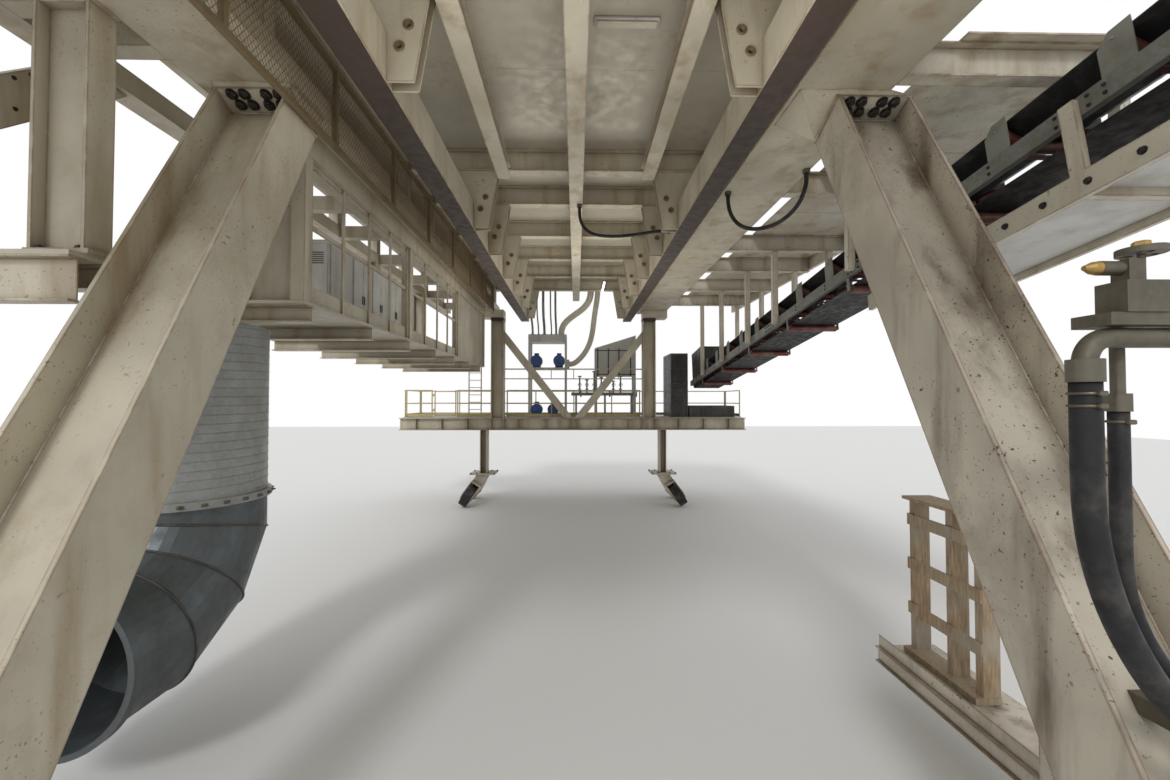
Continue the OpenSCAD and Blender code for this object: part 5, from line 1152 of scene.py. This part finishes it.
ribs = []
for places_x, first_y, last_y in ((NEAR_X, -OUTER, -WEB_HALF), (FAR_X, WEB_HALF, OUTER)):
    for x in places_x:
        low, high = (x - 0.008, PORTAL_Y + first_y, web_low), (x + 0.008, PORTAL_Y + last_y, web_high)
        ribs.append(chamfered(low, high, 0.003))
for z, r in ((5.29, 0.026), (4.9, 0.02)):
    ribs.append(swept([(x, RAIL_Y, z) for x in (-2.75, 0.0, 2.75)], r, 12, (0, 0, 1)))
ribs += [swept([(x, RAIL_Y, 4.9), (x, RAIL_Y, 5.29)], 0.016, 8, (1, 0, 0))
         for x in (-1.8, -0.9, 0.0, 0.9, 1.8)]
piece("beam_stiffeners", join(ribs), cream)

# %% Casing ribs and the bands of the posts
RIB_FRONT, RIB_BACK = 8.285, 8.3005

casing = [chamfered((x, RIB_FRONT, 3.4), (x + 0.035, RIB_BACK, 5.92), 0.005) for x in (3.96, 4.605)]
casing += [chamfered((3.97, RIB_FRONT, z), (4.64, RIB_BACK, z + 0.035), 0.005)
           for z in (3.4, 4.05, 4.7, 5.3, 5.88)]
casing += [chamfered((x, RIB_FRONT + 0.003, 3.38), (x + 0.03, RIB_BACK, 3.8), 0.005)
           for x in (4.72, 5.2, 5.65, 6.1, 6.5)]
casing.append(chamfered((4.71, RIB_FRONT, 3.75), (6.54, RIB_BACK, 3.79), 0.005))
casing += [chamfered((4.08, 8.287, 4.12 + 0.05 * i), (4.5, 8.297, 4.14 + 0.05 * i), 0.003) for i in range(9)]
piece("casing_ribs", join(casing), black_enamel)

post_bands = [chamfered((x - 0.26, 7.77, 7.18), (x + 0.26, 8.23, 7.28), 0.004) for x in (3, -3)]
piece("post_bands", join(post_bands), black_enamel)

# %% [markdown]
# ## The conveyor's fastenings
# Every idler set is bolted through the stringers' flanges, and groups of bolts join the stringers' lengths.
# The conveyor climbs at eight degrees. Working out each bolt's place on the slope would be error-prone, so
# they are placed on a level conveyor and turned about the portal together.


# %% Bolts on the climbing frame
def climbing(form):
    """The level conveyor set on its slope: point = turn about X by minus 8 degrees, plus a place."""
    return form[0] @ about_x(-8).T + np.array([0, PORTAL_Y, 4.76]), form[1]


stringer_sides = ((4.9, LEFT), (6.1, RIGHT))
idler_y = np.arange(-15.888, -0.9, 1.2)
low_y = np.arange(-16.9, -11.2, 0.42)

fast = [facing(small, grid([x], idler_y + 0.1, [0.06, 0.14]), turn) for x, turn in stringer_sides]
fast.append(facing(small, grid([4.944, 6.056], idler_y - 0.028, [0.21]), UP))
for y in np.arange(-14.3, -1.0, 3.6):
    row = y + np.array([-0.15, -0.05, 0.05, 0.15])
    fast += [facing(small, grid([x], row, [0.05, 0.15]), turn) for x, turn in stringer_sides]
fast += [facing(middle, grid([x], low_y, [-0.68]), turn) for x, turn in ((4.8397, LEFT), (6.1603, RIGHT))]
piece("conveyor_bolts", climbing(join(fast)), bolts_dark)

spill_sheet = chamfered((4.905, -17.0, -0.716), (6.095, -11.105, -0.7061), 0.004)
piece("spill_sheet_lining", climbing(spill_sheet), tank_paint)

# %% [markdown]
# ## Small fittings
# A few small things sit where a hand would reach: band clamps round the hoses, brass tips on their fittings,
# and a lever on the gallery door. The lever rides on the door's body, so it swings with the door.

# %% Hose clamps and brass tips
CLAMPS = [(2.566, THICK_Y, 4.09, 0.063), (2.566, THICK_Y, 4.03, 0.063), (2.822, THIN_Y, 3.95, 0.043)]
rings = []
for x, y, z, r in CLAMPS:
    rings.append(hoop((x, y, z), r, 0.007, 28, (0, 0, 1), sides=8))
    rings.append(chamfered((x - 0.02, y - r - 0.022, z - 0.012), (x + 0.02, y - r - 0.002, z + 0.012), 0.004))
piece("hose_clamps", join(rings), fitting_steel)

tip = flipped(lathe([(0, 0.07), (0.012, 0.07), (0.018, 0.055), (0.03, 0.03), (0.034, 0.0), (0.0, 0.0)], 24))
nut = flipped(lathe([(0, 0.018), (0.03, 0.018), (0.034, 0.012), (0.034, -0.012), (0.03, -0.018),
                     (0, -0.018)], 6))
caps = [facing(tip, [(2.64, THICK_Y, 4.70)], LEFT), facing(nut, [(2.86, THICK_Y, 4.815)], UP)]
piece("brass_tips", join(caps), brass)

# %% The gallery door's lever
door_low, door_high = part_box("gallery_door")
edge_x, face_y = door_high[0], door_low[1]

back_plate = chamfered((edge_x - 0.09, face_y - 0.012, 6.30), (edge_x - 0.05, face_y + 0.02, 6.46), 0.004)
steps = [(-0.07, -0.01), (-0.07, -0.05), (-0.12, -0.06), (-0.19, -0.06)]
lever = pipe([(edge_x + dx, face_y + dy, 6.40) for dx, dy in steps], 0.01, (0, 0, 1))
piece("door_grip", join([back_plate, lever]), black_enamel, body="gallery_door")

# %% [markdown]
# ## Floor, world and lights
# The studio is a plain pale floor under an even white sky. A grey sky would grey the backdrop, so the sky has
# two levels: rays from the camera and reflections see full white, and the steel is lit by three quarters of
# it. A soft sun gives direction, and two area lights stand for the lamps of the bay.

# %% The studio floor
PALE = (0.78, 0.78, 0.77, 1)
floor_mesh = bpy.data.meshes.new("studio_floor")
floor_mesh.from_pydata([(-60, -60, 0), (60, -60, 0), (60, 60, 0), (-60, 60, 0)], [], [(0, 1, 2, 3)])
floor = bpy.data.objects.new("studio_floor", floor_mesh)
bpy.context.scene.collection.objects.link(floor)
pale = bpy.data.materials.new("studio_floor")
pale.use_nodes = True
shader = pale.node_tree.nodes["Principled BSDF"]
shader.inputs["Base Color"].default_value = PALE
shader.inputs["Roughness"].default_value = 0.9
floor_mesh.materials.append(pale)
print("floor ready")

# %% The sky
SKY_ON_STEEL, SKY_SEEN = 0.75, 1.0
world = bpy.data.worlds.new("studio")
bpy.context.scene.world = world
world.use_nodes = True
tree = world.node_tree
background = tree.nodes["Background"]
background.inputs["Color"].default_value = (1, 1, 1, 1)
rays = tree.nodes.new("ShaderNodeLightPath")
seen = rays.outputs["Is Camera Ray"]
for other in ("Is Glossy Ray", "Is Transmission Ray"):
    either = tree.nodes.new("ShaderNodeMath")
    either.operation = "MAXIMUM"
    tree.links.new(seen, either.inputs[0])
    tree.links.new(rays.outputs[other], either.inputs[1])
    seen = either.outputs[0]
level = tree.nodes.new("ShaderNodeMapRange")
level.inputs["To Min"].default_value = SKY_ON_STEEL
level.inputs["To Max"].default_value = SKY_SEEN
tree.links.new(seen, level.inputs["Value"])
tree.links.new(level.outputs["Result"], background.inputs["Strength"])
print("sky ready")

# %% The lights
LAMP_COLOUR = (1.0, 0.97, 0.9)
sun_data = bpy.data.lights.new("window_light", "SUN")
sun_data.energy = 0.9
sun_data.angle = radians(12)
sun = bpy.data.objects.new("window_light", sun_data)
sun.rotation_euler = (radians(52), radians(8), radians(-24))
bpy.context.scene.collection.objects.link(sun)
AREA_LIGHTS = [("under_deck", (0.2, -7.5, 5.6), 3.0, 60), ("inner_bay", (0.2, 2.0, 5.2), 4.0, 90)]
for name, place, size, watts in AREA_LIGHTS:
    light = bpy.data.lights.new(name, "AREA")
    light.energy = watts
    light.size = size
    light.color = LAMP_COLOUR
    lit = bpy.data.objects.new(name, light)
    lit.location = place
    lit.rotation_euler = (radians(180), 0, 0)
    bpy.context.scene.collection.objects.link(lit)
bpy.context.scene.view_settings.view_transform = "Standard"
print("lights ready")
